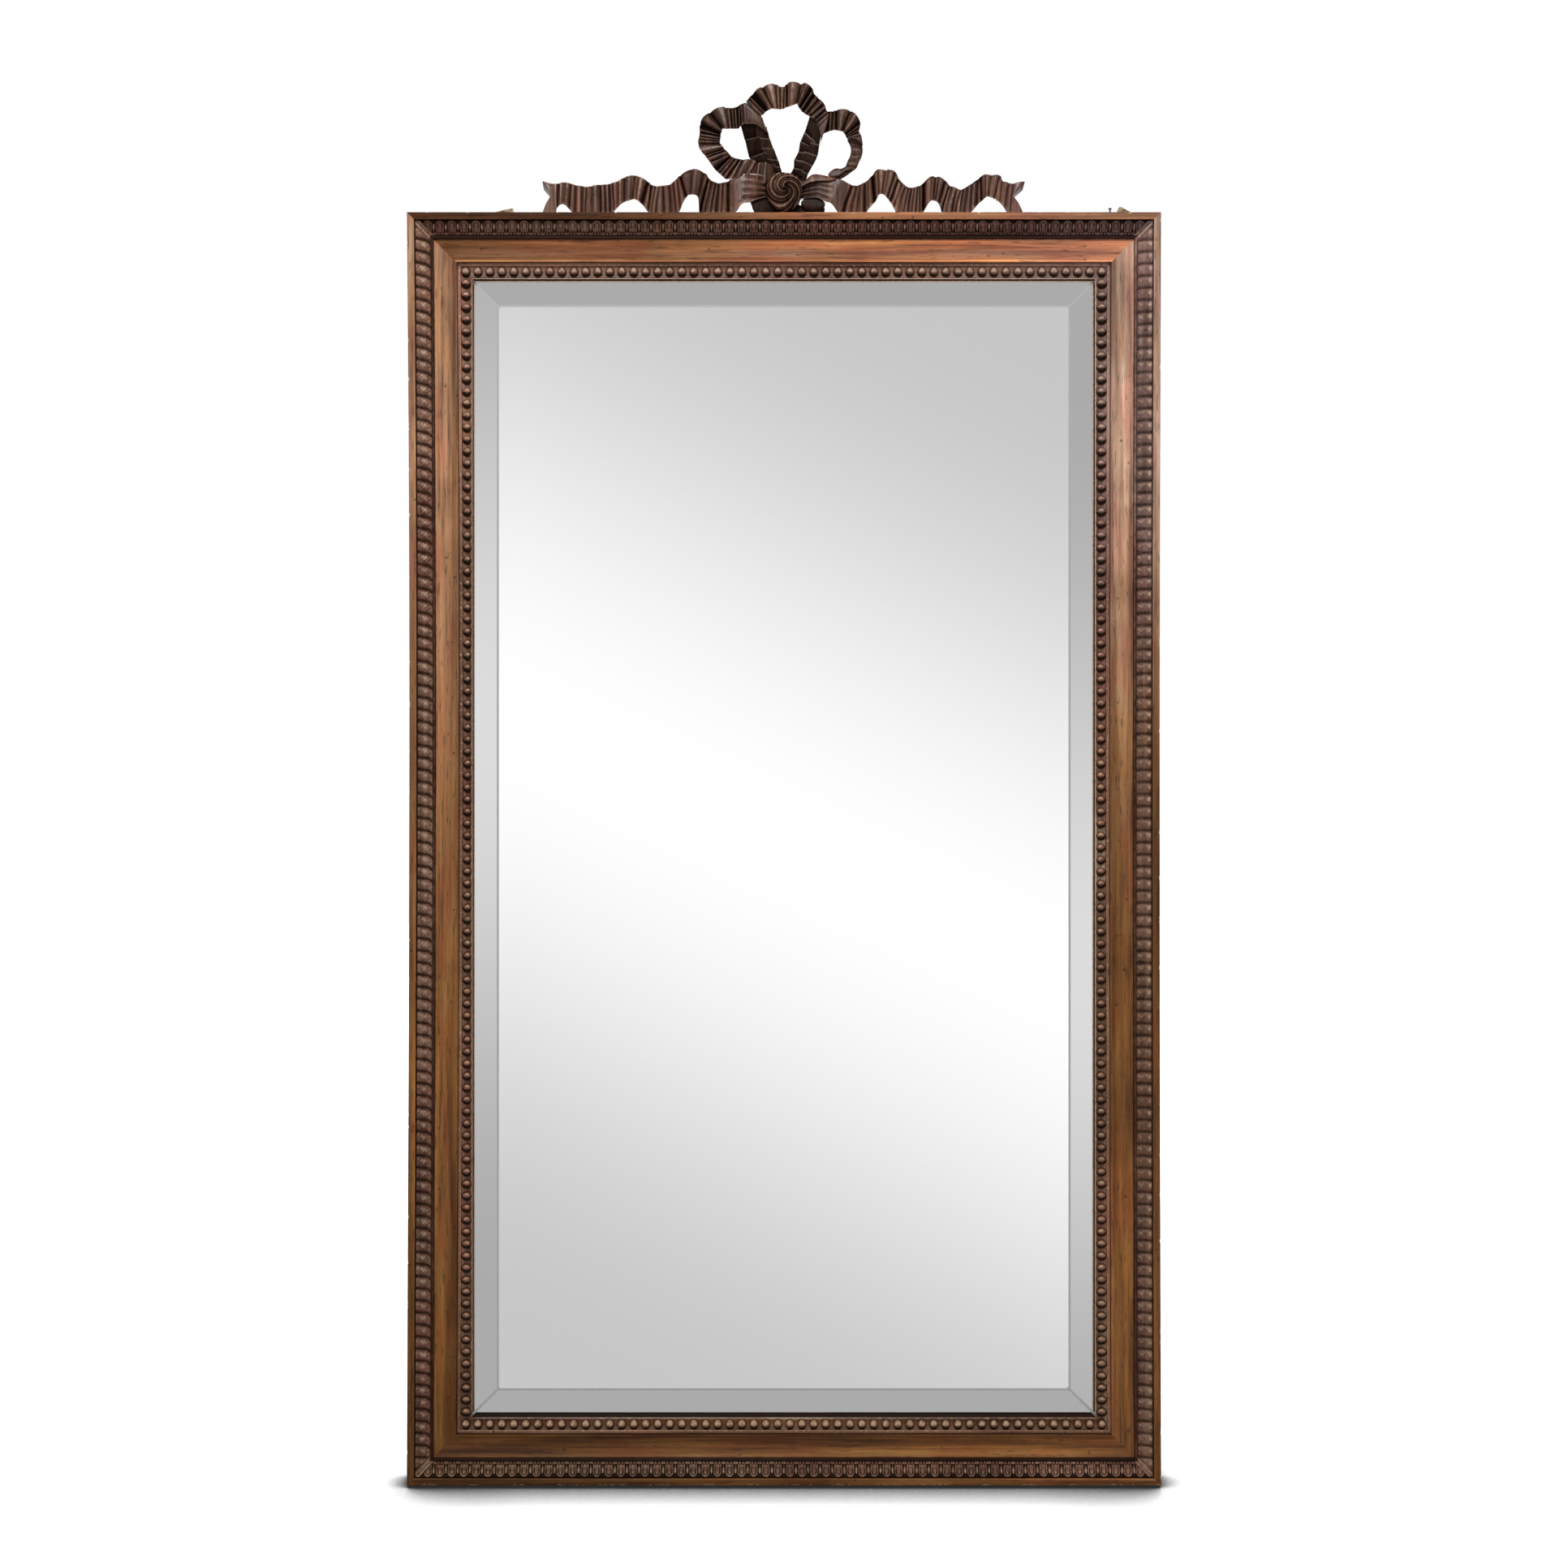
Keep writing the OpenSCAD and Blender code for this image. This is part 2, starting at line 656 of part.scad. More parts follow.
module back_panel(k) {
    z = rail_z(k) + back_rail_w;
    color(PINE) {
        mid_slab(-back_inner_w / 2 - tongue_l, z - tongue_l,
            back_inner_w + 2 * tongue_l, bay_h + 2 * tongue_l);
        translate([panel_margin - back_inner_w / 2, y_at(panel_mid_depth + panel_edge_t / 2 - panel_t),
            z + panel_margin])
            cube([back_inner_w - 2 * panel_margin, panel_t, bay_h - 2 * panel_margin]);
    }
}

module back_panel_bottom() { back_panel(0); }
module back_panel_middle() { back_panel(1); }
module back_panel_top() { back_panel(2); }

module back_screws() { color(BRASS) back_screw_set(); }

// ---- crest ----

// A ribbon's two edges lie square to its middle line, or straight above and below it. The
// edge on its gathered side, 1 for the left of its path and -1 for the right, has no bulges.
module ribbon(path, pleats, gathered = 0, upright = false) {
    line = along(path);
    polygon(concat(
        ribbon_edge(line, 1, pleats, upright, gathered == 1),
        reversed(ribbon_edge(line, -1, pleats, upright, gathered == -1))));
}

// A flat drawing of the crest, given thickness between two depths and stood on the frame.
module carved(depth_a, depth_b) {
    translate([0, y_at(depth_b), frame_h]) rotate([90, 0, 0]) linear_extrude(depth_b - depth_a)
        intersection() {
            children();
            translate([-crest_w, 0]) square([2 * crest_w, 2 * crest_h]);
        }
}

module centre_loop_2d() { ribbon(CENTRE_LOOP, 6, gathered = -1); }
module left_loop_2d() { ribbon(LEFT_LOOP, 8, gathered = 1); }
module right_loop_2d() { ribbon(RIGHT_LOOP, 6, gathered = -1); }
module left_stem_2d() { ribbon(LEFT_STEM, 3); }
module right_stem_2d() { ribbon(RIGHT_STEM, 3); }
module curl_2d() { ribbon(CURL, 1); }
module knot_2d(r) { translate(stretched(KNOT)) circle(r); }

module tail_2d(path, side) {
    difference() {
        ribbon(path, tail_pleats, upright = true);
        polygon([for (p = NOTCH) stretched(tip_of(path) + [side * p[0], p[1]])]);
    }
}
module left_tail_2d() { tail_2d(LEFT_TAIL, -1); }
module right_tail_2d() { tail_2d(RIGHT_TAIL, 1); }

module crest_knot() {
    centre = stretched(KNOT);
    front = centre_loop_depth - knot_dome;
    dome_r = (knot_r * knot_r + knot_dome * knot_dome) / (2 * knot_dome);
    color(WALNUT_DARK) translate([centre[0], y_at(knot_joint_depth), frame_h + centre[1]])
        rotate([90, 0, 0]) intersection() {
            cylinder(h = knot_joint_depth - front, r = knot_r);
            translate([0, 0, knot_joint_depth - front - dome_r]) sphere(dome_r, $fn = 128);
        }
}

module crest_curl() {
    color(WALNUT_DARK) carved(centre_loop_depth, tail_depth + tail_t / 2)
        difference() { curl_2d(); knot_2d(knot_r); }
}

module crest_centre_loop() {
    color(WALNUT_DARK) carved(centre_loop_depth, centre_loop_depth + loop_t) centre_loop_2d();
}

module crest_left_loop() {
    color(WALNUT_DARK) carved(side_loop_depth, side_loop_depth + loop_t)
        difference() { left_loop_2d(); centre_loop_2d(); knot_2d(knot_r); }
}

module crest_right_loop() {
    color(WALNUT_DARK) carved(side_loop_depth, side_loop_depth + loop_t)
        difference() { right_loop_2d(); centre_loop_2d(); curl_2d(); }
}

module crest_left_stem() {
    color(WALNUT_DARK) carved(stem_depth, crest_back_depth)
        difference() { left_stem_2d(); centre_loop_2d(); left_loop_2d(); left_tail_2d(); knot_2d(knot_r); }
}

module crest_right_stem() {
    color(WALNUT_DARK) carved(stem_depth, crest_back_depth)
        difference() {
            right_stem_2d(); centre_loop_2d(); right_loop_2d(); right_tail_2d(); curl_2d(); knot_2d(knot_r);
        }
}

module crest_left_tail() {
    color(WALNUT_DARK) difference() {
        carved(tail_depth, tail_depth + tail_t)
            difference() { left_tail_2d(); left_loop_2d(); knot_2d(knot_r); }
        crest_dowel_set(dowel_gap);
    }
}

module crest_right_tail() {
    color(WALNUT_DARK) difference() {
        carved(tail_depth, tail_depth + tail_t)
            difference() { right_tail_2d(); right_loop_2d(); curl_2d(); knot_2d(knot_r); }
        crest_dowel_set(dowel_gap);
    }
}

// The block behind the knot also shows as the dark folds at the knot's sides.
module crest_block() {
    color(WALNUT_DARK) difference() {
        union() {
            carved(knot_joint_depth, crest_back_depth) knot_2d(knot_r - ruffle);
            carved(knot_joint_depth, crest_back_depth)
                difference() { polygon([for (p = FOLDS) stretched(p)]); left_tail_2d(); right_tail_2d(); }
        }
        batten_screw_set(screw_gap);
    }
}

module batten_bar(gap = 0) {
    translate([stretched(KNOT)[0] - batten_w / 2 - gap, y_at(crest_back_depth) - gap,
        frame_h - batten_down - gap])
        cube([batten_w + 2 * gap, frame_d - crest_back_depth + gap + (gap > 0 ? cut : 0),
            batten_down + batten_up + gap + (gap > 0 ? cut : 0)]);
}

module batten_screw_set(gap = 0) {
    for (side = [-1, 1], k = [0, 1])
        translate([stretched(KNOT)[0], 0, frame_h + side * (batten_screw_out + k * batten_screw_step)])
            wood_screw(frame_d - crest_back_depth + batten_bite, gap);
}

module crest_batten() {
    color(PINE) difference() {
        batten_bar();
        batten_screw_set(screw_gap);
    }
}

module crest_dowel_set(gap = 0) {
    for (x = FEET)
        translate([stretched([x, 0])[0], y_at(tail_depth + tail_t / 2), frame_h - dowel_l / 2 - gap])
            cylinder(h = dowel_l + 2 * gap, r = dowel_r + gap);
}

module crest_dowels() { color(PINE) crest_dowel_set(); }
module crest_screws() { color(IRON) batten_screw_set(); }

// ---- hanging plates ----

LEFT_PIVOT = [left_pivot_in - frame_w / 2, frame_h - left_pivot_down];
RIGHT_PIVOT = [frame_w / 2 - right_pivot_in, frame_h - right_pivot_down];

module hanger(pivot, lean) {
    corner = hanger_w / 2 - hanger_corner_r;
    color(BRASS) translate([pivot[0], plate_face_gap + hanger_t, pivot[1]]) rotate([0, lean, 0])
        rotate([90, 0, 0]) linear_extrude(hanger_t) difference() {
            union() {
                circle(hanger_w / 2);
                translate([-hanger_w / 2, 0]) square([hanger_w, hanger_l - hanger_corner_r]);
                translate([-corner, 0]) square([2 * corner, hanger_l]);
                for (side = [-1, 1])
                    translate([side * corner, hanger_l - hanger_corner_r]) circle(hanger_corner_r);
            }
            circle(pivot_r + pivot_gap);
            translate([0, hanger_l - hanger_hole_in]) circle(hanger_hole_r);
        }
}

module left_hanger() { hanger(LEFT_PIVOT, -left_lean); }
module right_hanger() { hanger(RIGHT_PIVOT, right_lean); }

module pivot_shanks(gap = 0) {
    for (p = [LEFT_PIVOT, RIGHT_PIVOT])
        translate([p[0], 0, p[1]]) rotate([90, 0, 0]) cylinder(h = pivot_bite + gap, r = pivot_r + gap);
}

// Round-headed screws: the head is the cap of a ball.
module hanger_screws() {
    head_y = 2 * plate_face_gap + hanger_t;
    ball_r = (pivot_head_r * pivot_head_r + pivot_head_t * pivot_head_t) / (2 * pivot_head_t);
    color(BRASS) {
        for (p = [LEFT_PIVOT, RIGHT_PIVOT]) translate([p[0], head_y, p[1]]) {
            rotate([90, 0, 0]) cylinder(h = pivot_bite + head_y, r = pivot_r);
            rotate([-90, 0, 0]) intersection() {
                cylinder(h = pivot_head_t, r = pivot_head_r + cut);
                translate([0, 0, pivot_head_t - ball_r]) sphere(ball_r);
            }
        }
    }
}

module nail_shank(gap = 0) {
    translate([frame_w / 2 - nail_in, -nail_forward, frame_h - nail_bite - gap])
        cylinder(h = nail_bite + nail_up - nail_head_r / 2 + gap, r = nail_r + gap);
}

module top_nail() {
    color(IRON) {
        nail_shank();
        translate([frame_w / 2 - nail_in, -nail_forward, frame_h + nail_up - nail_head_r])
            cylinder(h = nail_head_r, r = nail_head_r);
    }
}

frame_left_stile();
frame_right_stile();
frame_top_rail();
frame_bottom_rail();
leaf_band_left();
leaf_band_right();
leaf_band_top();
leaf_band_bottom();
pearl_strip_left();
pearl_strip_right();
pearl_strip_top();
pearl_strip_bottom();
mitre_keys();
mirror_plate();
silvering();
plate_blocks();
back_left_stile();
back_right_stile();
back_top_rail();
back_upper_rail();
back_lower_rail();
back_bottom_rail();
back_panel_top();
back_panel_middle();
back_panel_bottom();
back_screws();
crest_knot();
crest_curl();
crest_centre_loop();
crest_left_loop();
crest_right_loop();
crest_left_stem();
crest_right_stem();
crest_left_tail();
crest_right_tail();
crest_block();
crest_batten();
crest_dowels();
crest_screws();
left_hanger();
right_hanger();
hanger_screws();
top_nail();
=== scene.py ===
import math

import bmesh
import bpy
import numpy as np
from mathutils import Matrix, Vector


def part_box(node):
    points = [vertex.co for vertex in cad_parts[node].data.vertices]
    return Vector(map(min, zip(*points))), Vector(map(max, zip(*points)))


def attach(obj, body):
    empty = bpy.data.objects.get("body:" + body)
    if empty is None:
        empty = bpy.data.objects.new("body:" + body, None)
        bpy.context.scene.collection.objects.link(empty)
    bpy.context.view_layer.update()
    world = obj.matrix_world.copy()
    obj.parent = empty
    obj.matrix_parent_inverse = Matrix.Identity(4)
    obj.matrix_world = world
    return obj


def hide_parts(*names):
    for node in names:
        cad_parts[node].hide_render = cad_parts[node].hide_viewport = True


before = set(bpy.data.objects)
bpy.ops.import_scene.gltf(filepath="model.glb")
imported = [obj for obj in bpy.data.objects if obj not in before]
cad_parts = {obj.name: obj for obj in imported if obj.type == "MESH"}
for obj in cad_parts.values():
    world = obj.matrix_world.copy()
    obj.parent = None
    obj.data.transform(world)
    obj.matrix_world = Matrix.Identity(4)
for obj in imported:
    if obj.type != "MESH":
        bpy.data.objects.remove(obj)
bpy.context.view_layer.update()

# ---- camera ----
# Square to the mirror, a little above its middle and a little to the left of it. One millimetre
# of the frame's front face is one pixel of a picture 1932 pixels wide.
FRONT_Y = -0.047
EYE_X, EYE_Z, EYE_AWAY = -0.041, 0.95, 2.6
VIEW_W, VIEW_X, VIEW_Z = 1.932, 0.0, 0.865

camera_data = bpy.data.cameras.new("camera")
camera_data.sensor_width = 36
camera_data.lens = camera_data.sensor_width * EYE_AWAY / VIEW_W
camera_data.shift_x = (VIEW_X - EYE_X) / VIEW_W
camera_data.shift_y = (VIEW_Z - EYE_Z) / VIEW_W
camera_data.clip_end = 60
camera = bpy.data.objects.new("camera", camera_data)
camera.location = (EYE_X, FRONT_Y - EYE_AWAY, EYE_Z)
camera.rotation_euler = (math.pi / 2, 0, 0)
bpy.context.scene.collection.objects.link(camera)
bpy.context.scene.camera = camera
bpy.context.scene.view_settings.view_transform = "Standard"


# ---- studio: world, floor and lamps ----
# The mirror reflects a large soft reflector with one bright band that slants down to the right.
# The camera sees plain white. The floor lies just below the frame. Near the frame its colour
# and glow are darkened by ambient occlusion: a painted contact shadow.
def node(tree, kind, inputs=None, **settings):
    """A new node with its settings, and its inputs set to a value or joined to a socket."""
    made = tree.nodes.new(kind)
    for key, value in settings.items():
        setattr(made, key, value)
    for key, value in (inputs or {}).items():
        if isinstance(value, bpy.types.NodeSocket):
            tree.links.new(value, made.inputs[key])
        else:
            made.inputs[key].default_value = value
    return made


def maths(tree, operation, *values, clamp=False):
    """One arithmetic step on sockets or numbers."""
    made = node(tree, "ShaderNodeMath", dict(enumerate(values)), operation=operation, use_clamp=clamp)
    return made.outputs[0]


def times(tree, a, b):
    """a times b."""
    return maths(tree, "MULTIPLY", a, b)


def plus(tree, a, b):
    """a and b added up."""
    return maths(tree, "ADD", a, b)


def faded(tree, value, low, high, to_low=0.0, to_high=1.0):
    """value carried smoothly from the range low..high to to_low..to_high."""
    made = node(tree, "ShaderNodeMapRange", {0: value, 1: low, 2: high, 3: to_low, 4: to_high})
    made.interpolation_type = "SMOOTHSTEP"
    return made.outputs[0]


def grey(tree, value):
    """The grey that is as bright as value."""
    return node(tree, "ShaderNodeCombineColor", {0: value, 1: value, 2: value}).outputs[0]


FILL_LIGHT = 0.40
REFLECTOR_GREY = 0.7725         # the reflector away from its band, as a screen shows it
BAND_SLANT = 0.46               # how far the band falls for each step to the right
BAND_HALF_W = 0.29              # half its width, as a slope from the camera's axis
BAND_LEFT, BAND_RIGHT = (-0.326 - EYE_X) / EYE_AWAY, (0.334 - EYE_X) / EYE_AWAY
BAND_HEIGHT = (0.941 - EYE_Z) / EYE_AWAY    # of the middle of the band at BAND_LEFT
GLASS_LOSS = 0.93

world = bpy.data.worlds.new("studio")
bpy.context.scene.world = world
world.use_nodes = True
tree = world.node_tree
tree.nodes.clear()
ray = node(tree, "ShaderNodeLightPath").outputs
direction = node(tree, "ShaderNodeTexCoord").outputs["Generated"]
towards = node(tree, "ShaderNodeSeparateXYZ", {0: direction}).outputs
ahead = maths(tree, "MAXIMUM", maths(tree, "ABSOLUTE", towards[1]), 0.001)
right = maths(tree, "DIVIDE", towards[0], ahead)
up = maths(tree, "DIVIDE", towards[2], ahead)
right = maths(tree, "MAXIMUM", maths(tree, "MINIMUM", right, BAND_RIGHT), BAND_LEFT)
fall = maths(tree, "MULTIPLY_ADD", plus(tree, right, -BAND_LEFT), BAND_SLANT, -BAND_HEIGHT)
off_band = maths(tree, "DIVIDE", plus(tree, up, fall), BAND_HALF_W)
off_band = maths(tree, "MINIMUM", maths(tree, "ABSOLUTE", off_band), 1.0)
bright = maths(tree, "POWER", maths(tree, "COSINE", times(tree, off_band, math.pi / 2)), 2.0)
screen = maths(tree, "MULTIPLY_ADD", bright, 1 - REFLECTOR_GREY, REFLECTOR_GREY)
glow = maths(tree, "DIVIDE", maths(tree, "POWER", screen, 2.2), GLASS_LOSS)
mirrored = maths(tree, "MAXIMUM", ray["Is Glossy Ray"], ray["Is Transmission Ray"])
strength = node(tree, "ShaderNodeMix", {0: mirrored, 2: FILL_LIGHT, 3: glow}).outputs[0]
strength = node(tree, "ShaderNodeMix", {0: ray["Is Camera Ray"], 2: strength, 3: 1.0}).outputs[0]
shader = node(tree, "ShaderNodeBackground", {"Color": (1, 1, 1, 1), "Strength": strength})
tree.links.new(shader.outputs[0], node(tree, "ShaderNodeOutputWorld").inputs[0])

FLOOR_SIZE, FLOOR_Z, FLOOR_WHITE = 14.0, -0.003, 0.8
FLOOR_GLOW, FAR_GLOW = 0.55, 1.0        # of the floor near the mirror, and where it joins the backdrop
GLOW_FROM, GLOW_TO = 0.7, 2.5           # how far from the mirror the one turns into the other
CONTACT = 0.14                          # how far from the frame the painted contact shadow reaches
half = FLOOR_SIZE / 2
floor_mesh = bpy.data.meshes.new("floor")
corners = [(x * half, y * half, FLOOR_Z) for x, y in ((-1, -1), (1, -1), (1, 1), (-1, 1))]
floor_mesh.from_pydata(corners, [], [(0, 1, 2, 3)])
floor = bpy.data.objects.new("floor", floor_mesh)
bpy.context.scene.collection.objects.link(floor)
pale = bpy.data.materials.new("pale_floor")
pale.use_nodes = True
tree = pale.node_tree
tree.nodes.clear()
ray = node(tree, "ShaderNodeLightPath").outputs
place = node(tree, "ShaderNodeTexCoord").outputs["Object"]
away = node(tree, "ShaderNodeVectorMath", {0: place}, operation="LENGTH").outputs["Value"]
# painted contact shadow: ambient occlusion near the frame darkens the floor's colour and glow
near = node(tree, "ShaderNodeAmbientOcclusion", {"Distance": CONTACT}, samples=8).outputs["AO"]
free = faded(tree, near, 0.52, 0.98, 0.035, 1.0)
glow = times(tree, faded(tree, away, GLOW_FROM, GLOW_TO, FLOOR_GLOW, FAR_GLOW), free)
glow = node(tree, "ShaderNodeEmission", {"Strength": times(tree, ray["Is Camera Ray"], glow)})
matt = node(tree, "ShaderNodeBsdfDiffuse", {"Color": grey(tree, times(tree, free, FLOOR_WHITE))})
shown = node(tree, "ShaderNodeAddShader", {0: matt.outputs[0], 1: glow.outputs[0]})
clear = node(tree, "ShaderNodeBsdfTransparent")
shader = node(tree, "ShaderNodeMixShader",
              {0: ray["Is Glossy Ray"], 1: shown.outputs[0], 2: clear.outputs[0]})
tree.links.new(shader.outputs[0], node(tree, "ShaderNodeOutputMaterial").inputs[0])
floor_mesh.materials.append(pale)


def lamp(name, place, aim, size, power):
    """A square soft lamp at place, turned to face aim."""
    data = bpy.data.lights.new(name, "AREA")
    data.size, data.energy = size, power
    made = bpy.data.objects.new(name, data)
    made.location = place
    way = np.array(aim) - np.array(place)
    flat = math.hypot(way[0], way[1])
    made.rotation_euler = (math.atan2(flat, -way[2]), 0, math.atan2(-way[0], way[1]))
    bpy.context.scene.collection.objects.link(made)


lamp("key_lamp", (-0.4, -3.3, 3.75), (0, 0, 1.2), 1.5, 165)
lamp("back_lamp", (0.9, 3.2, 3.0), (0, 0, 0.8), 2.0, 130)


# ---- walnut frame ----
# Two stiles and two rails of old waxed walnut, mitred at the corners. Each has a plain outer
# strip, a seat for the leaf band, a wide hollow with a small nose, and a seat for the pearls.
def paint(red, green, blue):
    """A colour as a screen shows it, 0 to 255, turned into linear light."""
    share = np.array([red, green, blue]) / 255
    linear = np.where(share <= 0.04045, share / 12.92, ((share + 0.055) / 1.055) ** 2.4)
    return (*linear.tolist(), 1.0)


def mixed(tree, share, a, b, blend="MIX"):
    """Colour a, turning to colour b as share goes from 0 to 1."""
    made = node(tree, "ShaderNodeMix", {0: share, 6: a, 7: b}, data_type="RGBA", blend_type=blend)
    return made.outputs[2]


def tinted(tree, colour, tint):
    """colour times tint, as a stain or a glaze gives it."""
    return mixed(tree, 1.0, colour, tint, "MULTIPLY")


def ramp(tree, value, *stops):
    """A colour that follows value through stops, each a place and a shade."""
    made = node(tree, "ShaderNodeValToRGB", {0: value})
    marks = made.color_ramp.elements
    for mark, (position, shade) in zip(marks, (stops[0], stops[-1])):
        mark.position, mark.color = position, paint(*shade)
    for position, shade in stops[1:-1]:
        marks.new(position).color = paint(*shade)
    return made.outputs[0]


def noise(tree, vector, scale, detail=3.0, rough=0.55, bend=0.0):
    """Soft noise, 0 to 1."""
    return node(tree, "ShaderNodeTexNoise", {"Vector": vector, "Scale": scale, "Detail": detail,
                                             "Roughness": rough, "Distortion": bend}).outputs[0]


def cells(tree, vector, scale=1.0):
    """How far each place is from the nearest of many scattered points."""
    return node(tree, "ShaderNodeTexVoronoi", {"Vector": vector, "Scale": scale}).outputs["Distance"]


def drawn_out(tree, place, grain, across, along):
    """Coordinates scaled by across, and by along in the direction of the grain."""
    scale = [across] * 3
    scale[grain] = along
    return node(tree, "ShaderNodeMapping", {"Vector": place, "Scale": scale}).outputs[0]


def painted(tree, key):
    """What a piece carries at each of its points: its relief, tone or board."""
    return node(tree, "ShaderNodeAttribute", attribute_name=key, attribute_type="GEOMETRY").outputs["Fac"]


def bumped(tree, height, strength, distance):
    """The way that a surface faces once height has roughened it."""
    made = node(tree, "ShaderNodeBump", {"Height": height, "Strength": strength, "Distance": distance})
    return made.outputs[0]


def axis_of(tree, place, axis):
    """One of the three coordinates of place."""
    return node(tree, "ShaderNodeSeparateXYZ", {0: place}).outputs[axis]


def new_material(name):
    """An empty material's tree, its object coordinates, and a function that gives it a surface."""
    made = bpy.data.materials.new(name)
    made.use_nodes = True
    tree = made.node_tree
    tree.nodes.clear()

    def surfaced(**inputs):
        shader = node(tree, "ShaderNodeBsdfPrincipled", {k.replace("_", " "): v for k, v in inputs.items()})
        tree.links.new(shader.outputs[0], node(tree, "ShaderNodeOutputMaterial").inputs[0])
        return made
    return tree, node(tree, "ShaderNodeTexCoord").outputs["Object"], surfaced


def uneven(at, seed, scale=1.0):
    """A smooth wandering value between about -1 and 1: a sum of sines whose waves don't repeat."""
    picks = np.random.default_rng(seed)
    waves = scale * np.array([1.0, 2.17, 3.71, 6.13, 9.7])
    shares = np.array([0.4, 0.27, 0.18, 0.1, 0.05])
    starts = picks.uniform(0, 2 * np.pi, waves.size)
    return (np.sin(np.asarray(at)[..., None] * waves + starts) * shares).sum(-1)


def smooth(value, low, high):
    """0 below low, 1 above high, and an S-curve between."""
    t = np.clip((value - low) / (high - low), 0, 1)
    return t * t * (3 - 2 * t)


def piece(name, points, faces, material, body="frame", relief=None, tone=1.0, board=0.0, sharp=40,
          replaces=()):
    """A mesh from points and faces. Doubles are merged, normals turned outwards, and edges
    sharper than the given angle left crisp. relief is 0 in a hollow, 0.5 on plain wood and 1 on
    a worn edge. tone makes the wood darker below 1 and lighter above it. board tells one board's
    grain from the next one's."""
    mesh = bpy.data.meshes.new(name)
    mesh.from_pydata(np.asarray(points).reshape(-1, 3), [], faces)
    if relief is not None:
        for key, values in (("relief", relief), ("tone", tone), ("board", board)):
            values = np.broadcast_to(np.asarray(values, np.float32).ravel(), len(mesh.vertices))
            layer = mesh.attributes.new(key, "FLOAT", "POINT")
            layer.data.foreach_set("value", np.ascontiguousarray(values))
    work = bmesh.new()
    work.from_mesh(mesh)
    bmesh.ops.remove_doubles(work, verts=work.verts, dist=1e-6)
    bmesh.ops.dissolve_degenerate(work, edges=work.edges, dist=1e-6)
    bmesh.ops.recalc_face_normals(work, faces=work.faces)
    work.to_mesh(mesh)
    work.free()
    mesh.polygons.foreach_set("use_smooth", [True] * len(mesh.polygons))
    mesh.set_sharp_from_angle(angle=math.radians(sharp))
    made = bpy.data.objects.new(name, mesh)
    bpy.context.scene.collection.objects.link(made)
    mesh.materials.append(material)
    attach(made, body)
    if replaces:
        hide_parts(*replaces)
    return made


def tube_faces(sections, ring):
    """Faces of a closed tube: quads between neighbouring rings, and one face at each end."""
    index = np.arange(sections * ring).reshape(sections, ring)
    a, b = index[:-1], index[1:]
    quads = np.stack([a, np.roll(a, -1, 1), np.roll(b, -1, 1), b], -1).reshape(-1, 4)
    return quads.tolist() + [index[0][::-1].tolist(), index[-1].tolist()]


FRAME_LOW, FRAME_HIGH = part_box("frame_bottom_rail")
TOP_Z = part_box("frame_top_rail")[1].z
FRAME_W = FRAME_HIGH.x - FRAME_LOW.x
SIDES = {"left": TOP_Z, "right": TOP_Z, "top": FRAME_W, "bottom": FRAME_W}
MM = 0.001
FRAME_D = 47
STILE_BOW = {"left": 3.2, "right": 1.8}      # how far age has drawn each stile in at its middle, mm
BOW_MID = {"left": 0.12, "right": 0.05}      # where that is, as a share of the height above the middle
BOW_ENDS, BOW_BACK = (68, 78.5), (27, 33)    # the insets and the depths over which the bow runs out


def laid_on(side, along, inset, depth):
    """Points of a moulding on one side of the frame. along runs from the side's middle, inset
    from the frame's outer edge towards the glass, and depth back from its front face, in mm. The
    face of each stile is bowed: it lies furthest in near its middle, as far as the sight edge."""
    if side in STILE_BOW:
        reach = TOP_Z / MM
        up = along / reach
        bow = np.cos(np.pi * np.clip(up - BOW_MID[side] * (1 - (2 * up) ** 2), -0.5, 0.5))
        kept = (1 - smooth(inset, *BOW_ENDS)) * (1 - smooth(depth, *BOW_BACK))
        inset = inset + STILE_BOW[side] * bow * kept
    a, i, y = np.broadcast_arrays(along * MM, inset * MM, (depth - FRAME_D) * MM)
    if side == "bottom":
        return np.stack([a, y, i], -1)
    if side == "top":
        return np.stack([a, y, TOP_Z - i], -1)
    if side == "left":
        return np.stack([i - FRAME_W / 2, y, TOP_Z / 2 + a], -1)
    return np.stack([FRAME_W / 2 - i, y, TOP_Z / 2 + a], -1)


def mitred(side, columns, inset):
    """Places along a side for each column and inset, held back at the two mitres."""
    reach = SIDES[side] / MM / 2 - inset
    return np.clip(columns[:, None], -reach, reach)


# The moulding's section in mm: widths from the outer edge inwards, insets, and depths.
STRIP_W, LEAF_W, COVE_W, NOSE_W, PEARL_W, LIP = 8.7, 21.9, 28.0, 0.9, 18.8, 0.5
LEAF_IN = STRIP_W
COVE_IN = LEAF_IN + LEAF_W
NOSE_IN = COVE_IN + COVE_W
PEARL_IN = NOSE_IN + NOSE_W
SIGHT_IN = PEARL_IN + PEARL_W
REBATE_IN, LEDGE_IN = SIGHT_IN - 8.3, SIGHT_IN - 26.3
LEAF_SEAT, COVE_START, NOSE_TOP, COVE_SAG = 12.0, 11.0, 10.0, 4.0
PEARL_SEAT, SHOULDER, BACK_FRONT = 22.0, 26.2, 34.5


def arc(a, b, sag, count):
    """Points on the circle arc from a to b that sinks by sag below the line between them."""
    a, b = np.array(a, float), np.array(b, float)
    chord = np.linalg.norm(b - a)
    radius = (chord ** 2 / 4 + sag ** 2) / (2 * sag)
    half_turn = math.asin(chord / 2 / radius)
    swing = np.linspace(-half_turn, half_turn, count)[:, None]
    way = (b - a) / chord
    across = np.array([-way[1], way[0]])
    return (a + b) / 2 + way * radius * np.sin(swing) + across * (radius * np.cos(swing) - (radius - sag))


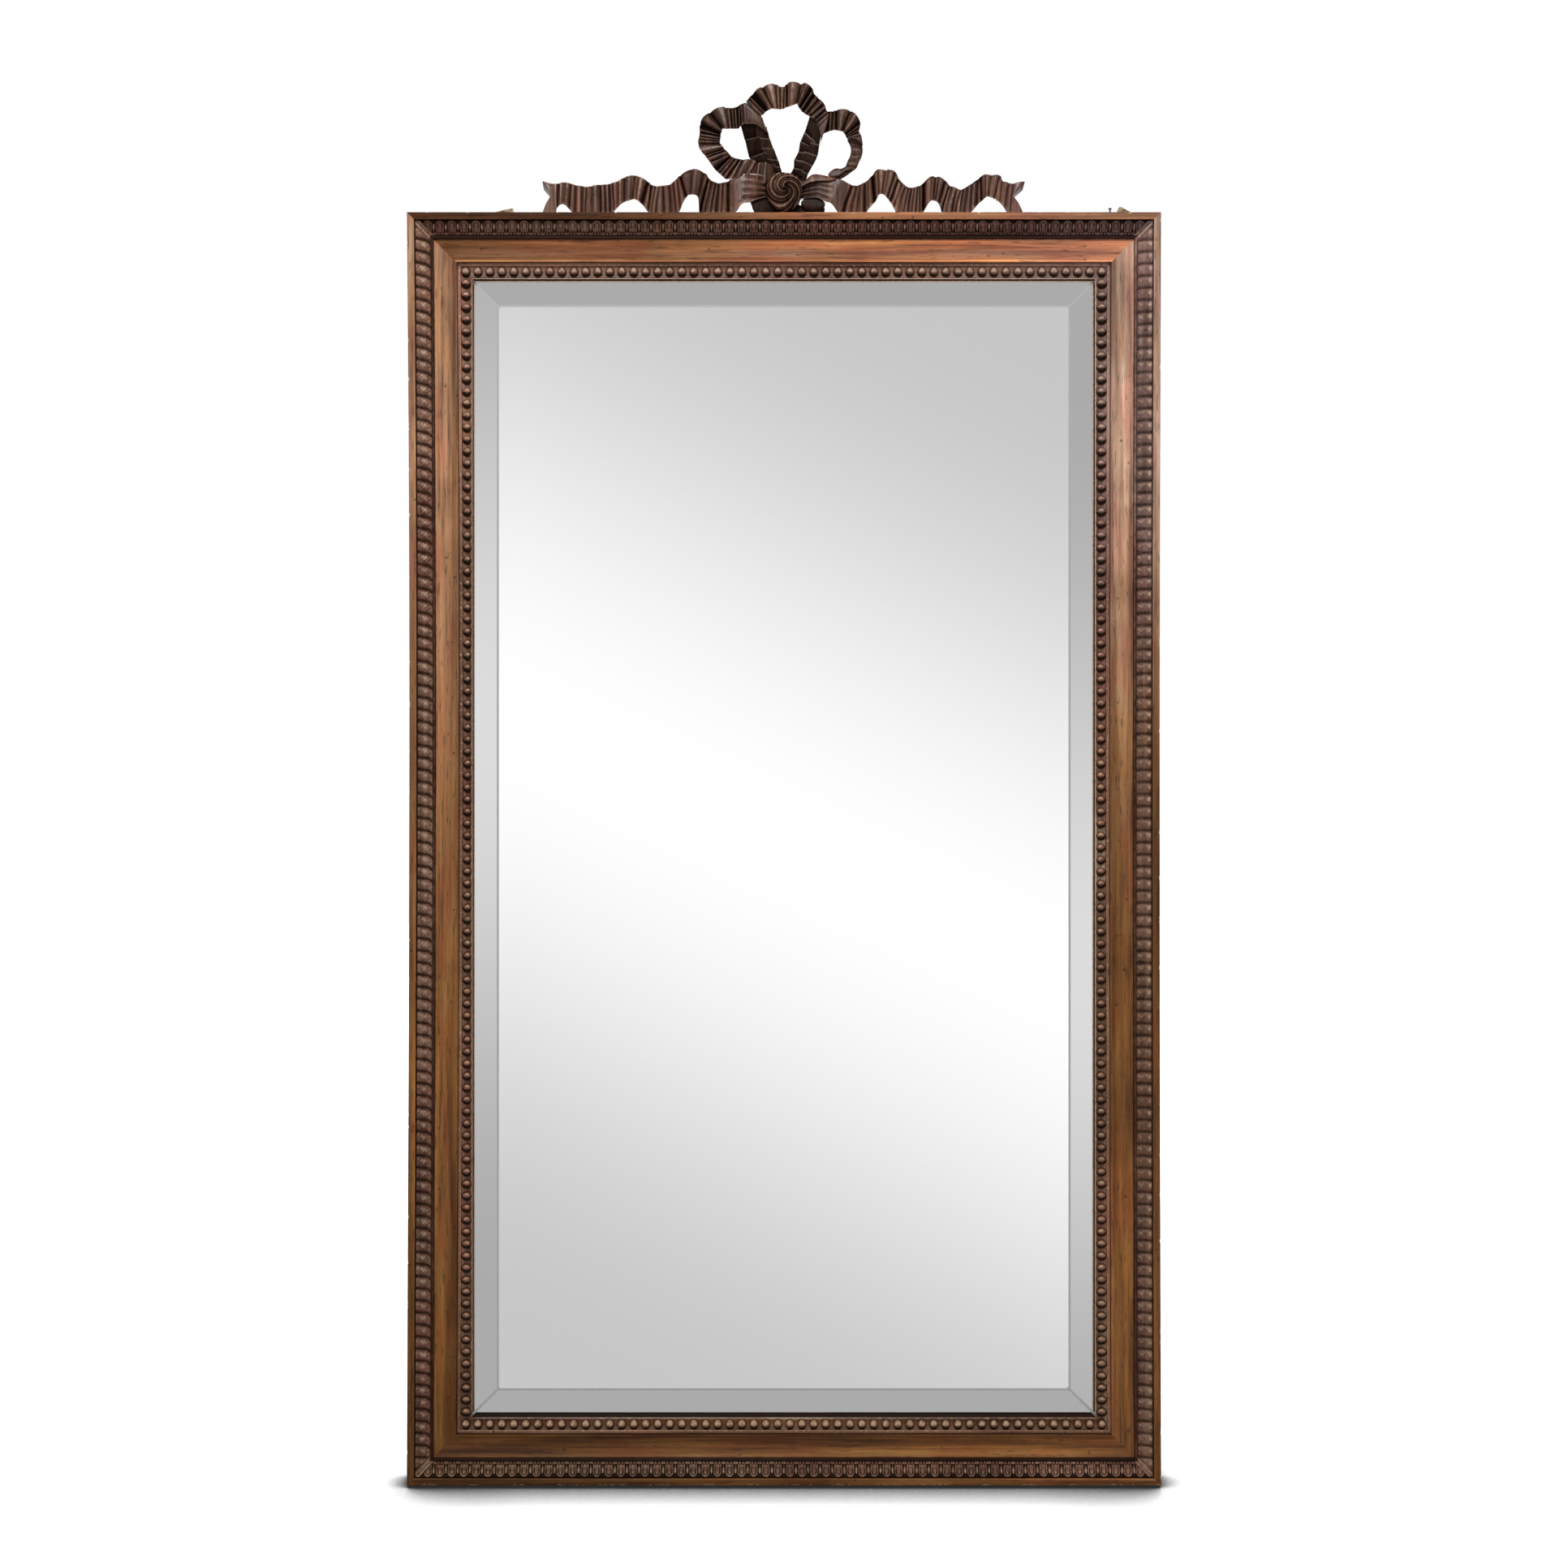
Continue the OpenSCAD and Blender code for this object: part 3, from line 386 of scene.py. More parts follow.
def corner(inset, depth, radius, start):
    """A rounded arris: points on a quarter circle about a centre."""
    angle = np.radians(np.linspace(start, start + 90, 4))
    return np.stack([inset + radius * np.cos(angle), depth + radius * np.sin(angle)], -1)


def carcass_outline():
    """The frame's section as [inset, depth], clockwise from the back, with its relief."""
    rows = [
        ([[0.0, 46.4], [0.0, 30.0], [0.0, 12.0]], [0.7, 0.5, 0.5]),
        (corner(1.5, 1.5, 1.5, 180), [0.5, 0.62, 0.62, 0.55]),
        ([[3.5, 0.0], [5.8, 0.0]], [0.5, 0.5]),
        (corner(STRIP_W - 0.7, 0.7, 0.7, 270), [0.55, 0.72, 0.7, 0.4]),
        ([[STRIP_W, 3.7], [STRIP_W, LEAF_SEAT], [COVE_IN - 1, LEAF_SEAT]], [0.1, 0.0, 0.0]),
        (arc([COVE_IN, COVE_START], [NOSE_IN, NOSE_TOP], COVE_SAG, 19),
         [0.0, 0.36, 0.48] + [0.5] * 14 + [0.5, 0.55]),
        ([[PEARL_IN - 0.25, NOSE_TOP], [PEARL_IN, NOSE_TOP + 0.3], [PEARL_IN, 15.2]], [0.6, 0.35, 0.1]),
        ([[PEARL_IN, PEARL_SEAT], [SIGHT_IN - LIP, PEARL_SEAT], [SIGHT_IN - LIP, SHOULDER]], [0, 0, 0]),
        ([[REBATE_IN, SHOULDER], [REBATE_IN, BACK_FRONT], [LEDGE_IN, BACK_FRONT]], [0.3] * 3),
        ([[LEDGE_IN, 46.5], [LEDGE_IN - 0.5, 47.0], [0.6, 47.0]], [0.5, 0.7, 0.7]),
    ]
    points = np.concatenate([np.asarray(p, float) for p, _ in rows])
    return points, np.concatenate([np.asarray(r, float) for _, r in rows])


PAINTED_LIGHT_HEIGHTS = 0.45, 1.6                # the heights between which the wood goes from its low to its high tint: painted light and shade
SHEEN_UP, SHEEN_ASIDE = (0.9, 1.25), (0.1, 0.45)      # where the painted sheen sets in, up the frame and to the right
# the first tint is a painted sheen that pales the top right; ROSY, GOLDEN and DUSKY tint the wood's own
# patches
TOP_SHEEN, ROSY = (1.08, 1.26, 1.65, 1), (1.0, 0.80, 0.82, 1)
GOLDEN, DUSKY = (1.10, 0.98, 0.84, 1), (0.66, 0.63, 0.62, 1)


def walnut(name, grain, shades, wax, low=(1, 1, 1), high=(1, 1, 1), gloss=(0.38, 0.62), shine=0.2, fine=1.0,
           patchy=1.0, chipped=0.5):
    """Old waxed walnut. Its streaks are noise drawn out along the grain (0 for X, 2 for Z). Large
    soft patches turn it pinker or more golden, dark dashes are its pores, and round specks old
    worm and ink spots. low and high tint it near the floor and near the top: painted light and
    shade. A painted sheen pales its top, most of all on the right. Each piece's tone and relief
    darken it: wax fills its hollows, and its raised parts are worn pale, in chips. On some
    pieces tone and relief also paint light, shade and highlights. gloss is its range of
    roughness and shine its highest sheen. fine and patchy are how close its streaks and patches
    lie, and chipped is how ragged the worn parts are."""
    tree, place, surfaced = new_material(name)

    def along_grain(across, along, *settings):
        return noise(tree, drawn_out(tree, place, grain, across * fine, along * fine), 1.0, *settings)

    def roughened(value, scale, share):
        return maths(tree, "MULTIPLY_ADD", plus(tree, noise(tree, place, scale), -0.5), share, value)

    streak = along_grain(150, 5, 5.0, 0.65, 0.3)
    broad = along_grain(48, 1.8, 3.0, 0.5, 0.6)
    patch = along_grain(16 * patchy, 3.2 * patchy, 2.0)
    cloud = noise(tree, place, 6.0, 3.0, 0.6)
    figure = plus(tree, times(tree, streak, 0.55), times(tree, broad, 0.45))
    colour = ramp(tree, figure, *zip((0.37, 0.46, 0.55, 0.64), shades))
    hued = mixed(tree, faded(tree, patch, 0.47, 0.60, 0.0, 0.9), colour, tinted(tree, colour, ROSY))
    colour = mixed(tree, faded(tree, patch, 0.36, 0.46, 0.75, 0.0), hued, tinted(tree, colour, GOLDEN))
    colour = mixed(tree, faded(tree, cloud, 0.5, 0.68, 0.0, 0.8), colour, tinted(tree, colour, DUSKY))

    # painted light and shade by height, and a painted sheen at the top right
    height = axis_of(tree, place, 2)
    tint = mixed(tree, faded(tree, height, *PAINTED_LIGHT_HEIGHTS), (*low, 1), (*high, 1))
    colour = tinted(tree, colour, tint)
    to_right = faded(tree, axis_of(tree, place, 0), *SHEEN_ASIDE)
    sheen_share = times(tree, faded(tree, height, *SHEEN_UP), to_right)
    colour = mixed(tree, sheen_share, colour, tinted(tree, colour, TOP_SHEEN))

    dashes = faded(tree, along_grain(330, 42, 1.5, 0.5), 0.61, 0.70)
    pores = faded(tree, along_grain(900, 60, 2.0, 0.5), 0.60, 0.70)
    pores = maths(tree, "MAXIMUM", dashes, times(tree, pores, 0.7))
    colour = mixed(tree, times(tree, pores, 0.45), colour, paint(*wax))
    rare = faded(tree, noise(tree, place, 60.0, 1.0), 0.57, 0.64)
    specks = times(tree, faded(tree, cells(tree, place, 95.0), 0.12, 0.24, 1.0, 0.0), rare)
    colour = mixed(tree, times(tree, specks, 0.6), colour, paint(*wax))
    height_map = plus(tree, times(tree, streak, 0.35), times(tree, plus(tree, pores, specks), -0.3))

    felt, tone = painted(tree, "relief"), painted(tree, "tone")
    worn = tinted(tree, paint(*shades[4]), tint)
    colour = mixed(tree, faded(tree, roughened(felt, 260.0, chipped), 0.64, 1.0, 0.0, 0.75), colour, worn)
    colour = tinted(tree, colour, grey(tree, tone))
    soft = roughened(felt, 120.0, 0.22)
    colour = mixed(tree, faded(tree, soft, 0.05, 0.46, 0.95, 0.0), colour, paint(*wax))
    sheen = times(tree, faded(tree, soft, 0.1, 0.6, 0.03, shine), maths(tree, "MINIMUM", tone, 1.0))
    return surfaced(Base_Color=colour, Roughness=faded(tree, cloud, 0.3, 0.7, *gloss),
                    Specular_IOR_Level=sheen, Normal=bumped(tree, height_map, 0.35, 0.0006))


def walnut_pair(name, stile, rail, wax, **both):
    """The same finish with its grain upright and level. stile and rail are each its shades, and
    its tints low and high."""
    return {grain: walnut(f"{name}_{part}", grain, shades, wax, low, high, **both)
            for grain, part, (shades, low, high) in ((2, "stile", stile), (0, "rail", rail))}


# shades, then the low and high tints: painted light and shade, darker near the floor and paler near the top
STILE = (((104, 64, 42), (148, 98, 62), (178, 120, 78), (204, 148, 104), (226, 192, 164)),
         (0.48, 0.47, 0.275), (0.925, 1.19, 1.575))
RAIL = (((98, 58, 36), (142, 90, 54), (172, 112, 68), (198, 140, 92), (226, 192, 164)),
        (0.41, 0.435, 0.305), (0.85, 0.88, 0.92))
GRAIN = {"left": 2, "right": 2, "top": 0, "bottom": 0}
walnut_of = walnut_pair("walnut", STILE, RAIL, (34, 20, 13), patchy=2.6)
TONE_ACROSS = (                 # insets from the outer edge in mm, and the tones there; across the cove they paint light and shade
    [0.0, 8.0, 8.7, 30.6, 33.0, 44.0, 55.0, 59.5, 62.0],
    [0.66, 0.74, 1.0, 1.12, 1.10, 0.95, 0.74, 0.64, 0.58])
TONE_ALONG = {                  # tones along each side, from its middle, in mm
    "left": ([-700, -560, -350, -200, 300, 456, 620], [0.72, 0.80, 1.30, 1.05, 1.0, 1.32, 1.0]),
    "right": ([-350, -235, 0, 110, 341, 571, 690], [1.15, 0.90, 0.80, 0.74, 1.3, 1.3, 1.05]),
    "top": ([-400, -260, -80, 80, 260, 380], [0.42, 0.56, 0.74, 1.5, 2.0, 1.7]),
    "bottom": ([-366, 0, 160, 264, 369], [0.9, 1.1, 1.3, 1.85, 1.5]),
}


COLUMN_STEP = 2.5               # how far apart the rings of points along a side lie, in mm


def frame_side(side, node_name, seed):
    """One mitred length of the frame, with a wandering face, and its outer arris bruised. Each
    side has its own tones, across and along it; across the moulding and on the top and bottom
    rails they are partly painted light and shade."""
    outline, relief = carcass_outline()
    reach = SIDES[side] / MM / 2
    columns = np.linspace(-reach, reach, int(reach / COLUMN_STEP) * 2 + 1)
    inset, depth = outline[:, 0], outline[:, 1]
    along = mitred(side, columns, inset)
    worn_from = 0.1 if side == "bottom" else 0.5
    knocks = uneven(along, seed, 0.11) + 0.5 * uneven(along, seed + 1, 0.9)
    bruise = smooth(knocks, worn_from, worn_from + 0.5)
    arris = np.exp(-((inset - 0.4) ** 2 + (depth - 0.4) ** 2) / 2.0)
    sway = 0.10 * uneven(along, seed + 2, 0.012)
    front = np.where(depth < 30, 1.0, 0.0)
    insets = inset + 0.7 * bruise * arris
    depths = depth + (0.6 * bruise * arris + sway) * front
    rings = laid_on(side, along, insets, depths)
    felt = np.broadcast_to(relief, along.shape) + 0.45 * bruise * arris
    by_pearls = inset > NOSE_IN - 2
    # painted light and shade: the top rail's flat by the pearls lighter, the bottom rail's lower cove darker
    tone = np.interp(inset, *TONE_ACROSS) * {
        "left": 1.0,
        "right": 1 + 0.55 * smooth(-along, 250, 450) * by_pearls,
        "top": (1 + 1.4 * by_pearls) * (1 - 0.22 * (inset < LEAF_IN)),
        "bottom": 1 - 0.2 * smooth(inset, 24, 30) * (1 - smooth(inset, 34, 42)),
    }[side]
    tone = tone * np.interp(along, *TONE_ALONG[side]) * (1 + 1.6 * bruise * arris * (side == "bottom"))
    piece(f"walnut_{side}", rings, tube_faces(len(columns), len(outline)), walnut_of[GRAIN[side]],
          relief=felt, tone=tone, sharp=35, replaces=(node_name,))


for seed, side in enumerate(SIDES):
    frame_side(side, f"frame_{side}_{'stile' if GRAIN[side] else 'rail'}", 11 + 10 * seed)

# ---- carved leaf band ----
# A strip of walnut carved with a row of rounded leaves and darts. It is glued into the seat
# beside the outer strip, lies low at its inner edge, and keeps dark wax in its hollows.
LEAF_PITCH = 14.9
QUIRK_W, FILLET_W, QUIRK_DEEP, LEAF_HIGH, LEAF_LOW = 1.3, 2.5, 3.7, 2.0, 6.9
LEAF_CUT = 3.3                  # how deep the carver went below the leaves' tops
LEAF_MID, LEAF_STEPS = 8, 22    # a leaf's middle, in from the quirk, and its rings of points
LUMPS = {                       # the stiles' leaves: slant, hook, height, and how far in their pips lie
    "left": (0.18, 2.4, 0.62, 8.0, 12.2),
    "right": (0.0, 0.8, 0.5, 2.6, 13.6),
}
GROUND = {"left": 0.12, "right": 0.18, "top": 0.02, "bottom": 0.02}     # relief of the hollows
# how much the fillets' relief is raised: wear, and painted light, as a fillet lies in shade
FILLET_WEAR_AND_LIGHT = {"left": 0.2, "right": 0.3, "top": 0.0, "bottom": 0.0}


def leaf_height(s, w, pitch):
    """Height of the carving above its ground at s along from a leaf's middle and w in from the
    quirk: the highest of a leaf's rim, the leaf's belly with its vein and the pip at its tip, the
    dart between two leaves, and the small lobes that fan out at the foot."""
    crown_w, crown_s = 5.3, 5.1
    wide = np.where(w < crown_w, crown_s, crown_s - 0.9 * smooth(w, crown_w, 13.0))
    high = np.where(w < crown_w, (crown_w - w) / crown_w, 0.0)
    radius = np.hypot(s / wide, high)
    short = 1 - smooth(w, 12.2, 13.8)
    rim = np.exp(-(((radius - 0.84) * wide / 0.85) ** 2)) * short
    belly = 0.66 * (1 - smooth(radius, 0.30, 0.62)) * short
    vein = 0.16 * np.cos(s * 3.6) * (1 - smooth(radius, 0.3, 0.5)) * smooth(w, 6.5, 8.0) * short
    pip = 1.05 * np.exp(-((s / 1.5) ** 2 + ((w - 3.9) / 1.3) ** 2))
    off = pitch / 2 - np.abs(s)
    along_dart = np.clip((w - 3.0) / 10.0, 0, 1)
    dart_w = 1.55 * np.sin(np.pi * along_dart ** 0.8) + 0.05
    dart = np.sqrt(np.clip(1 - (off / dart_w) ** 2, 0, 1)) * np.where((w > 3.0) & (w < 13.0), 1.05, 0)
    fan = 0.0
    for start, splay in ((1.6, 0.25), (4.7, 0.5)):
        lobe_mid = start + splay * (w - 13.8)
        fan = np.maximum(fan, np.exp(-(((np.abs(s) - lobe_mid) / 0.95) ** 2 + ((w - 15.3) / 1.5) ** 2)))
    toe = np.exp(-((off / 1.1) ** 2 + ((w - 15.2) / 1.4) ** 2)) * 0.85
    return np.clip(np.maximum.reduce([rim, belly + vein, pip, dart, 0.9 * fan, toe]), 0, 1.1)


def lump_height(s, w, pitch, full, pips):
    """The same for the stiles, where the leaves lie close together: lumps as high as full, with a
    narrow groove between two, fine flutes along them, pips at some w, and a lower foot."""
    off = pitch / 2 - np.abs(s)
    lump = smooth(off, 0.6, 4.0) * (full + 0.035 * s) * (1 - 0.45 * smooth(w, 10.5, 14.0))
    flutes = (0.8 * full - 0.35) * (np.cos(2.5 * s + 0.3 * w) + np.cos(1.5 * w - 1.1 * s)) / 2
    pip = sum((0.9 - full) * np.exp(-(((s - 0.7) / 3.0) ** 2 + ((w - pip_at) / 2.3) ** 2)) for pip_at in pips)
    foot = 0.34 * np.exp(-(((np.abs(s) - 3.0) / 1.3) ** 2 + ((w - 15.3) / 1.3) ** 2))
    return np.clip(lump + (flutes + pip + foot) * smooth(off, 0.9, 3.0), 0, 1.1)


def leaf_rows():
    """Insets across the band, its base depths, and the carved rows' distance from the quirk."""
    carved = np.array([0.0, 0.4, 0.9, 1.5, 2.2, 3.0, 3.8, 4.6, 5.5, 6.6, 7.8, 9.0, 10.2, 11.3, 12.3, 13.2,
                       14.1, 15.0, 16.0, 17.0, 17.7])
    wide = LEAF_W - QUIRK_W - FILLET_W
    depth = LEAF_HIGH + (LEAF_LOW - LEAF_HIGH) * smooth(carved, -1.5, wide + 1.5)
    inset = LEAF_IN + QUIRK_W + carved
    before = np.array([[LEAF_IN, LEAF_SEAT], [LEAF_IN, QUIRK_DEEP + 0.5], [LEAF_IN + 0.9, QUIRK_DEEP + 0.9],
                       [LEAF_IN + QUIRK_W - 0.3, QUIRK_DEEP + 0.6]])
    after = np.array([[COVE_IN - FILLET_W + 0.3, LEAF_LOW + 0.5], [COVE_IN - FILLET_W + 0.7, LEAF_LOW],
                      [COVE_IN - 0.4, LEAF_LOW], [COVE_IN, LEAF_LOW + 0.4], [COVE_IN, LEAF_SEAT]])
    outline = np.concatenate([before, np.stack([inset, depth], -1), after])
    w = np.concatenate([np.full(len(before), np.nan), carved, np.full(len(after), np.nan)])
    relief = np.concatenate([[0.0, 0.12, 0.1, 0.15], np.full(len(carved), 0.5),
                             [0.15, 0.50, 0.55, 0.42, 0.0]])
    return outline, w, relief


def leaf_band(side, seed):
    """One carved length. The leaves stand at an even pitch from the middle, and a long leaf lies
    along each mitre."""
    outline, w, relief = leaf_rows()
    reach = SIDES[side] / MM / 2
    usable = 2 * (reach - COVE_IN - 2)
    count = int(round(usable / LEAF_PITCH))
    pitch = usable / count
    first = -(count / 2 + 2.5) * pitch
    columns = first + np.arange((count + 5) * LEAF_STEPS + 1) * pitch / LEAF_STEPS
    along = mitred(side, columns, outline[:, 0])
    turn = along / pitch + (0.5 if count % 2 == 0 else 0.0)
    s = (turn - np.round(turn)) * pitch
    which = np.round(turn)
    hand = 1 + 0.10 * uneven(which, seed, 1.9)
    lean = 0.35 * uneven(which, seed + 1, 2.3)
    across = np.broadcast_to(np.where(np.isnan(w), -9.0, w), along.shape)
    slant, hook, full, *pips = LUMPS.get(side, (0, 0, 0))
    s = s + slant * (across - LEAF_MID) + hook * smooth(across, 12.0, 17.5)
    s = (s / pitch - np.round(s / pitch)) * pitch
    s, w = s + lean * (across - LEAF_MID) / LEAF_MID, across + 0.3 * uneven(which, seed + 2, 1.3)
    height = (lump_height(s, w, pitch, full, pips) if pips else leaf_height(s, w, pitch)) * hand
    to_mitre = (reach - outline[:, 0] - np.abs(along)) / math.sqrt(2)
    long_leaf = np.exp(-((to_mitre - 2.2) / 1.5) ** 2) + 0.9 * np.exp(-(to_mitre / 0.6) ** 2)
    height += (np.clip(long_leaf, 0, 1) - height) * (1 - smooth(to_mitre, 3.5, 6.0))
    carved = ~np.isnan(w)
    cut = np.where(carved, LEAF_CUT * (1 - height), 0.0)
    ease = np.where(carved, smooth(across, -0.2, 0.9) * (1 - smooth(across, 16.9, 18.0)), 1.0)
    depths = outline[:, 1] + np.where(carved, cut * ease + 1.0 * (1 - ease), 0.0)
    # painted light: the fillet, in shade between the carving and the cove, is lightened on every side, least
    # on the bottom; the bottom rail's lip, which faces up to the light, is lightened too
    fillet = (outline[:, 0] > COVE_IN - FILLET_W + 0.5) & (relief > 0.1)
    lip = (outline[:, 0] < LEAF_IN + QUIRK_W) & (relief > 0.05) & (side == "bottom")
    relief = relief + fillet * FILLET_WEAR_AND_LIGHT[side] + 0.45 * lip
    felt = np.where(carved, np.clip(GROUND[side] + 0.80 * np.clip(height * ease, 0, 1) ** 0.9, 0, 1), relief)
    lighter = {"left": 0.9, "right": 1.3 + 1.4 * smooth(along, 50, 450), "top": 1.9, "bottom": 0.1}
    tone = np.broadcast_to(1 + lighter[side] * fillet + 0.5 * lip, along.shape)
    piece(f"leaf_band_{side}_carved", laid_on(side, along, outline[:, 0], depths),
          tube_faces(len(columns), len(outline)), carved_walnut[GRAIN[side]], relief=felt, tone=tone,
          sharp=60, replaces=(f"leaf_band_{side}",))


CARVED_SHADES = ((84, 58, 46), (110, 80, 64), (134, 102, 84), (156, 122, 102), (206, 178, 156))
# the tints by height are painted light and shade: the stiles' carving darker towards the floor, the top
# rail's darker than the bottom rail's
carved_walnut = walnut_pair("carved_walnut", (CARVED_SHADES, (0.54, 0.51, 0.47), (0.76, 0.72, 0.69)),
                            (CARVED_SHADES, (0.90, 1.00, 0.98), (0.52, 0.50, 0.52)), (26, 15, 10),
                            gloss=(0.4, 0.6))
for seed, side in enumerate(SIDES):
    leaf_band(side, 100 + 10 * seed)

# ---- pearl strip ----
# A narrow strip with a flat, a sunk channel full of carved oval pearls, and a thin sloping edge
# next to the glass. Dark wax lies under and round each pearl.
PEARL_PITCH = 14.9
PEARL_FLAT, PEARL_LINE, SIGHT_SLOPE = 4.3, 11.2, 2.8
FLAT_DEEP, CHANNEL_DEEP, CROWN_DEEP, SIGHT_DEEP = 15.8, 18.2, 12.6, 18.7
PEARL_ALONG, PEARL_ACROSS = 6.0, 7.1


def pearl_outline(wall, bed):
    """The strip's section as [inset, depth] with its relief, from its seat round to the glass.
    wall is the relief of its inner face, and bed of the channel."""
    low = PEARL_IN + PEARL_FLAT
    foot = SIGHT_IN - SIGHT_SLOPE
    rows = np.array([
        [PEARL_IN, PEARL_SEAT, 0.2], [PEARL_IN, FLAT_DEEP, 0.15],
        [PEARL_IN + 0.4, FLAT_DEEP - 0.1, 0.45], [PEARL_IN + 1.0, FLAT_DEEP - 0.15, 0.62],
        [low - 0.6, FLAT_DEEP, 0.68], [low - 0.1, FLAT_DEEP + 0.4, 0.6],
        [low + 0.2, CHANNEL_DEEP - 0.3, 0.3], [low + 1.2, CHANNEL_DEEP, bed],
        [foot - 1.5, CHANNEL_DEEP, bed], [foot - 0.3, CHANNEL_DEEP - 0.3, 0.4],
        [foot + 0.5, CHANNEL_DEEP - 0.9, 0.55], [SIGHT_IN - 1.2, CHANNEL_DEEP - 0.7, 0.66],
        [SIGHT_IN - 0.25, SIGHT_DEEP - 0.9, 0.84], [SIGHT_IN, SIGHT_DEEP - 0.3, 0.6],
        [SIGHT_IN, SIGHT_DEEP + 0.3, wall], [SIGHT_IN, PEARL_SEAT, wall],
    ])
    return rows[:, :2], rows[:, 2]


def dome_faces(rings, spokes):
    """Faces of a closed dome: a fan round its crown, quads from ring to ring, and one face below."""
    index = 1 + np.arange(rings * spokes).reshape(rings, spokes)
    after = np.roll(index, -1, 1)
    fan = np.stack([0 * index[0], index[0], after[0]], -1)
    quads = np.stack([index[:-1], index[1:], after[1:], after[:-1]], -1).reshape(-1, 4)
    return [*fan.tolist(), *quads.tolist(), index[-1].tolist()]


KNOB_TILTS = (32, 50, 70, 102)   # degrees from the crown of each ring of a pearl's points
KNOB_SPOKES = 12


def knobs(side, along, inset, base, size):
    """Domes set on a strip: for each, its crown and rings of points down to below its base, and
    their relief. Wax darkens each round its rim, and painted shade darkens its lower half, more
    of it on the stiles."""
    tilt = np.radians(KNOB_TILTS)[:, None]
    turn = np.linspace(0, 2 * np.pi, KNOB_SPOKES, endpoint=False)[None, :]
    a = np.concatenate([[0.0], (np.sin(tilt) * np.cos(turn)).ravel()]) * size[0]
    i = np.concatenate([[0.0], (np.sin(tilt) * np.sin(turn)).ravel()]) * size[1]
    d = -np.concatenate([[1.0], (np.cos(tilt) * np.ones_like(turn)).ravel()]) * size[2]
    points = laid_on(side, along[:, None] + a, inset + i, base + d)
    middle = laid_on(side, along[:, None], np.array([[inset]]), np.array([[base]]))
    down = (middle - points)[..., 2] / (size[1] * MM)
    out = np.hypot(a / size[0], i / size[1])
    # painted shade over the lower half of each pearl, more of it on the stiles
    lowest = 0.25 if side in STILE_BOW else 0.55
    relief = 0.02 + 0.9 * (1 - smooth(out, 0.62, 0.94)) * (1 - smooth(down, lowest - 0.65, lowest))
    return points, np.clip(relief, 0.02, 1)


CHIPPED = {"right": (-55, 45), "bottom": (-31, 54)}   # where the pearls' bed is worn pale
STRIP_STEP = 6                  # how far apart the strip's rings of points lie, in mm


def pearl_strip(side, seed):
    """The strip and its pearls as one piece. The top and bottom own the corners."""
    # the inner face by the glass lies in shade; on every side but the bottom it is painted light
    outline, relief = pearl_outline(0.1 if side == "bottom" else 0.95, 0.36 if side == "bottom" else 0.5)
    reach = SIDES[side] / MM / 2
    columns = np.linspace(-reach, reach, int(reach / STRIP_STEP) * 2 + 1)
    along = mitred(side, columns, outline[:, 0])
    depths = outline[:, 1] + 0.12 * uneven(along, seed, 0.05)
    start, end = CHIPPED.get(side, (1e4, 1e4))
    chips = smooth(along, start, start + 12) * (1 - smooth(along, end - 12, end))
    bed = (outline[:, 0] > PEARL_IN + PEARL_FLAT) & (outline[:, 1] < SIGHT_DEEP)
    felt = relief + 0.30 * chips * bed
    span = 2 * (reach - PEARL_IN - PEARL_LINE)
    count = int(round(span / PEARL_PITCH))
    places = (np.arange(count + 1) / count - 0.5) * span
    if side in STILE_BOW:
        places = places[1:-1]
    spots = places + 0.15 * uneven(places, seed + 1, 0.4)
    domes, dome_felt = knobs(side, spots, PEARL_IN + PEARL_LINE, CHANNEL_DEEP,
                             (PEARL_ALONG, PEARL_ACROSS, CHANNEL_DEEP - CROWN_DEEP))
    one = dome_faces(len(KNOB_TILTS), KNOB_SPOKES)
    faces = tube_faces(len(columns), len(outline))
    for start in along.size + domes.shape[1] * np.arange(len(spots)):
        faces += [[int(start) + at for at in face] for face in one]
    tone = np.interp(outline[:, 0], [PEARL_IN, PEARL_IN + 1.5, SIGHT_IN - 3, SIGHT_IN],
                     [1.1, 1.2, 0.62, 0.72])
    # painted light: the inner face by the glass is made much lighter on every side but the bottom, so it
    # doesn't show dark in the glass
    if side != "bottom":
        tone = np.where(outline[:, 1] > SIGHT_DEEP, 2.2, tone)
    # painted light and shade: the pearls' tone differs from side to side, darkest on the top rail
    light = {"top": 0.72, "bottom": 1.05}.get(side, 0.92)
    strip = laid_on(side, along, outline[:, 0], depths)
    piece(f"pearls_{side}", np.concatenate([strip.reshape(-1, 3), domes.reshape(-1, 3)]), faces,
          pearl_walnut[GRAIN[side]], relief=np.concatenate([felt.ravel(), dome_felt.ravel()]),
          tone=np.concatenate([np.broadcast_to(tone, along.shape).ravel(), np.full(dome_felt.size, light)]),
          sharp=50, replaces=(f"pearl_strip_{side}",))


# shades, then the low and high tints: painted light and shade, darker near the floor
PEARL_WOOD = (((104, 74, 58), (130, 96, 76), (150, 114, 92), (168, 132, 108), (222, 194, 172)),
              (0.56, 0.51, 0.43), (0.78, 0.73, 0.70))
pearl_walnut = walnut_pair("pearl_walnut", PEARL_WOOD, PEARL_WOOD, (24, 14, 9), gloss=(0.3, 0.5),
                           shine=0.3, chipped=0.9)
for seed, side in enumerate(SIDES):
    pearl_strip(side, 200 + 10 * seed)


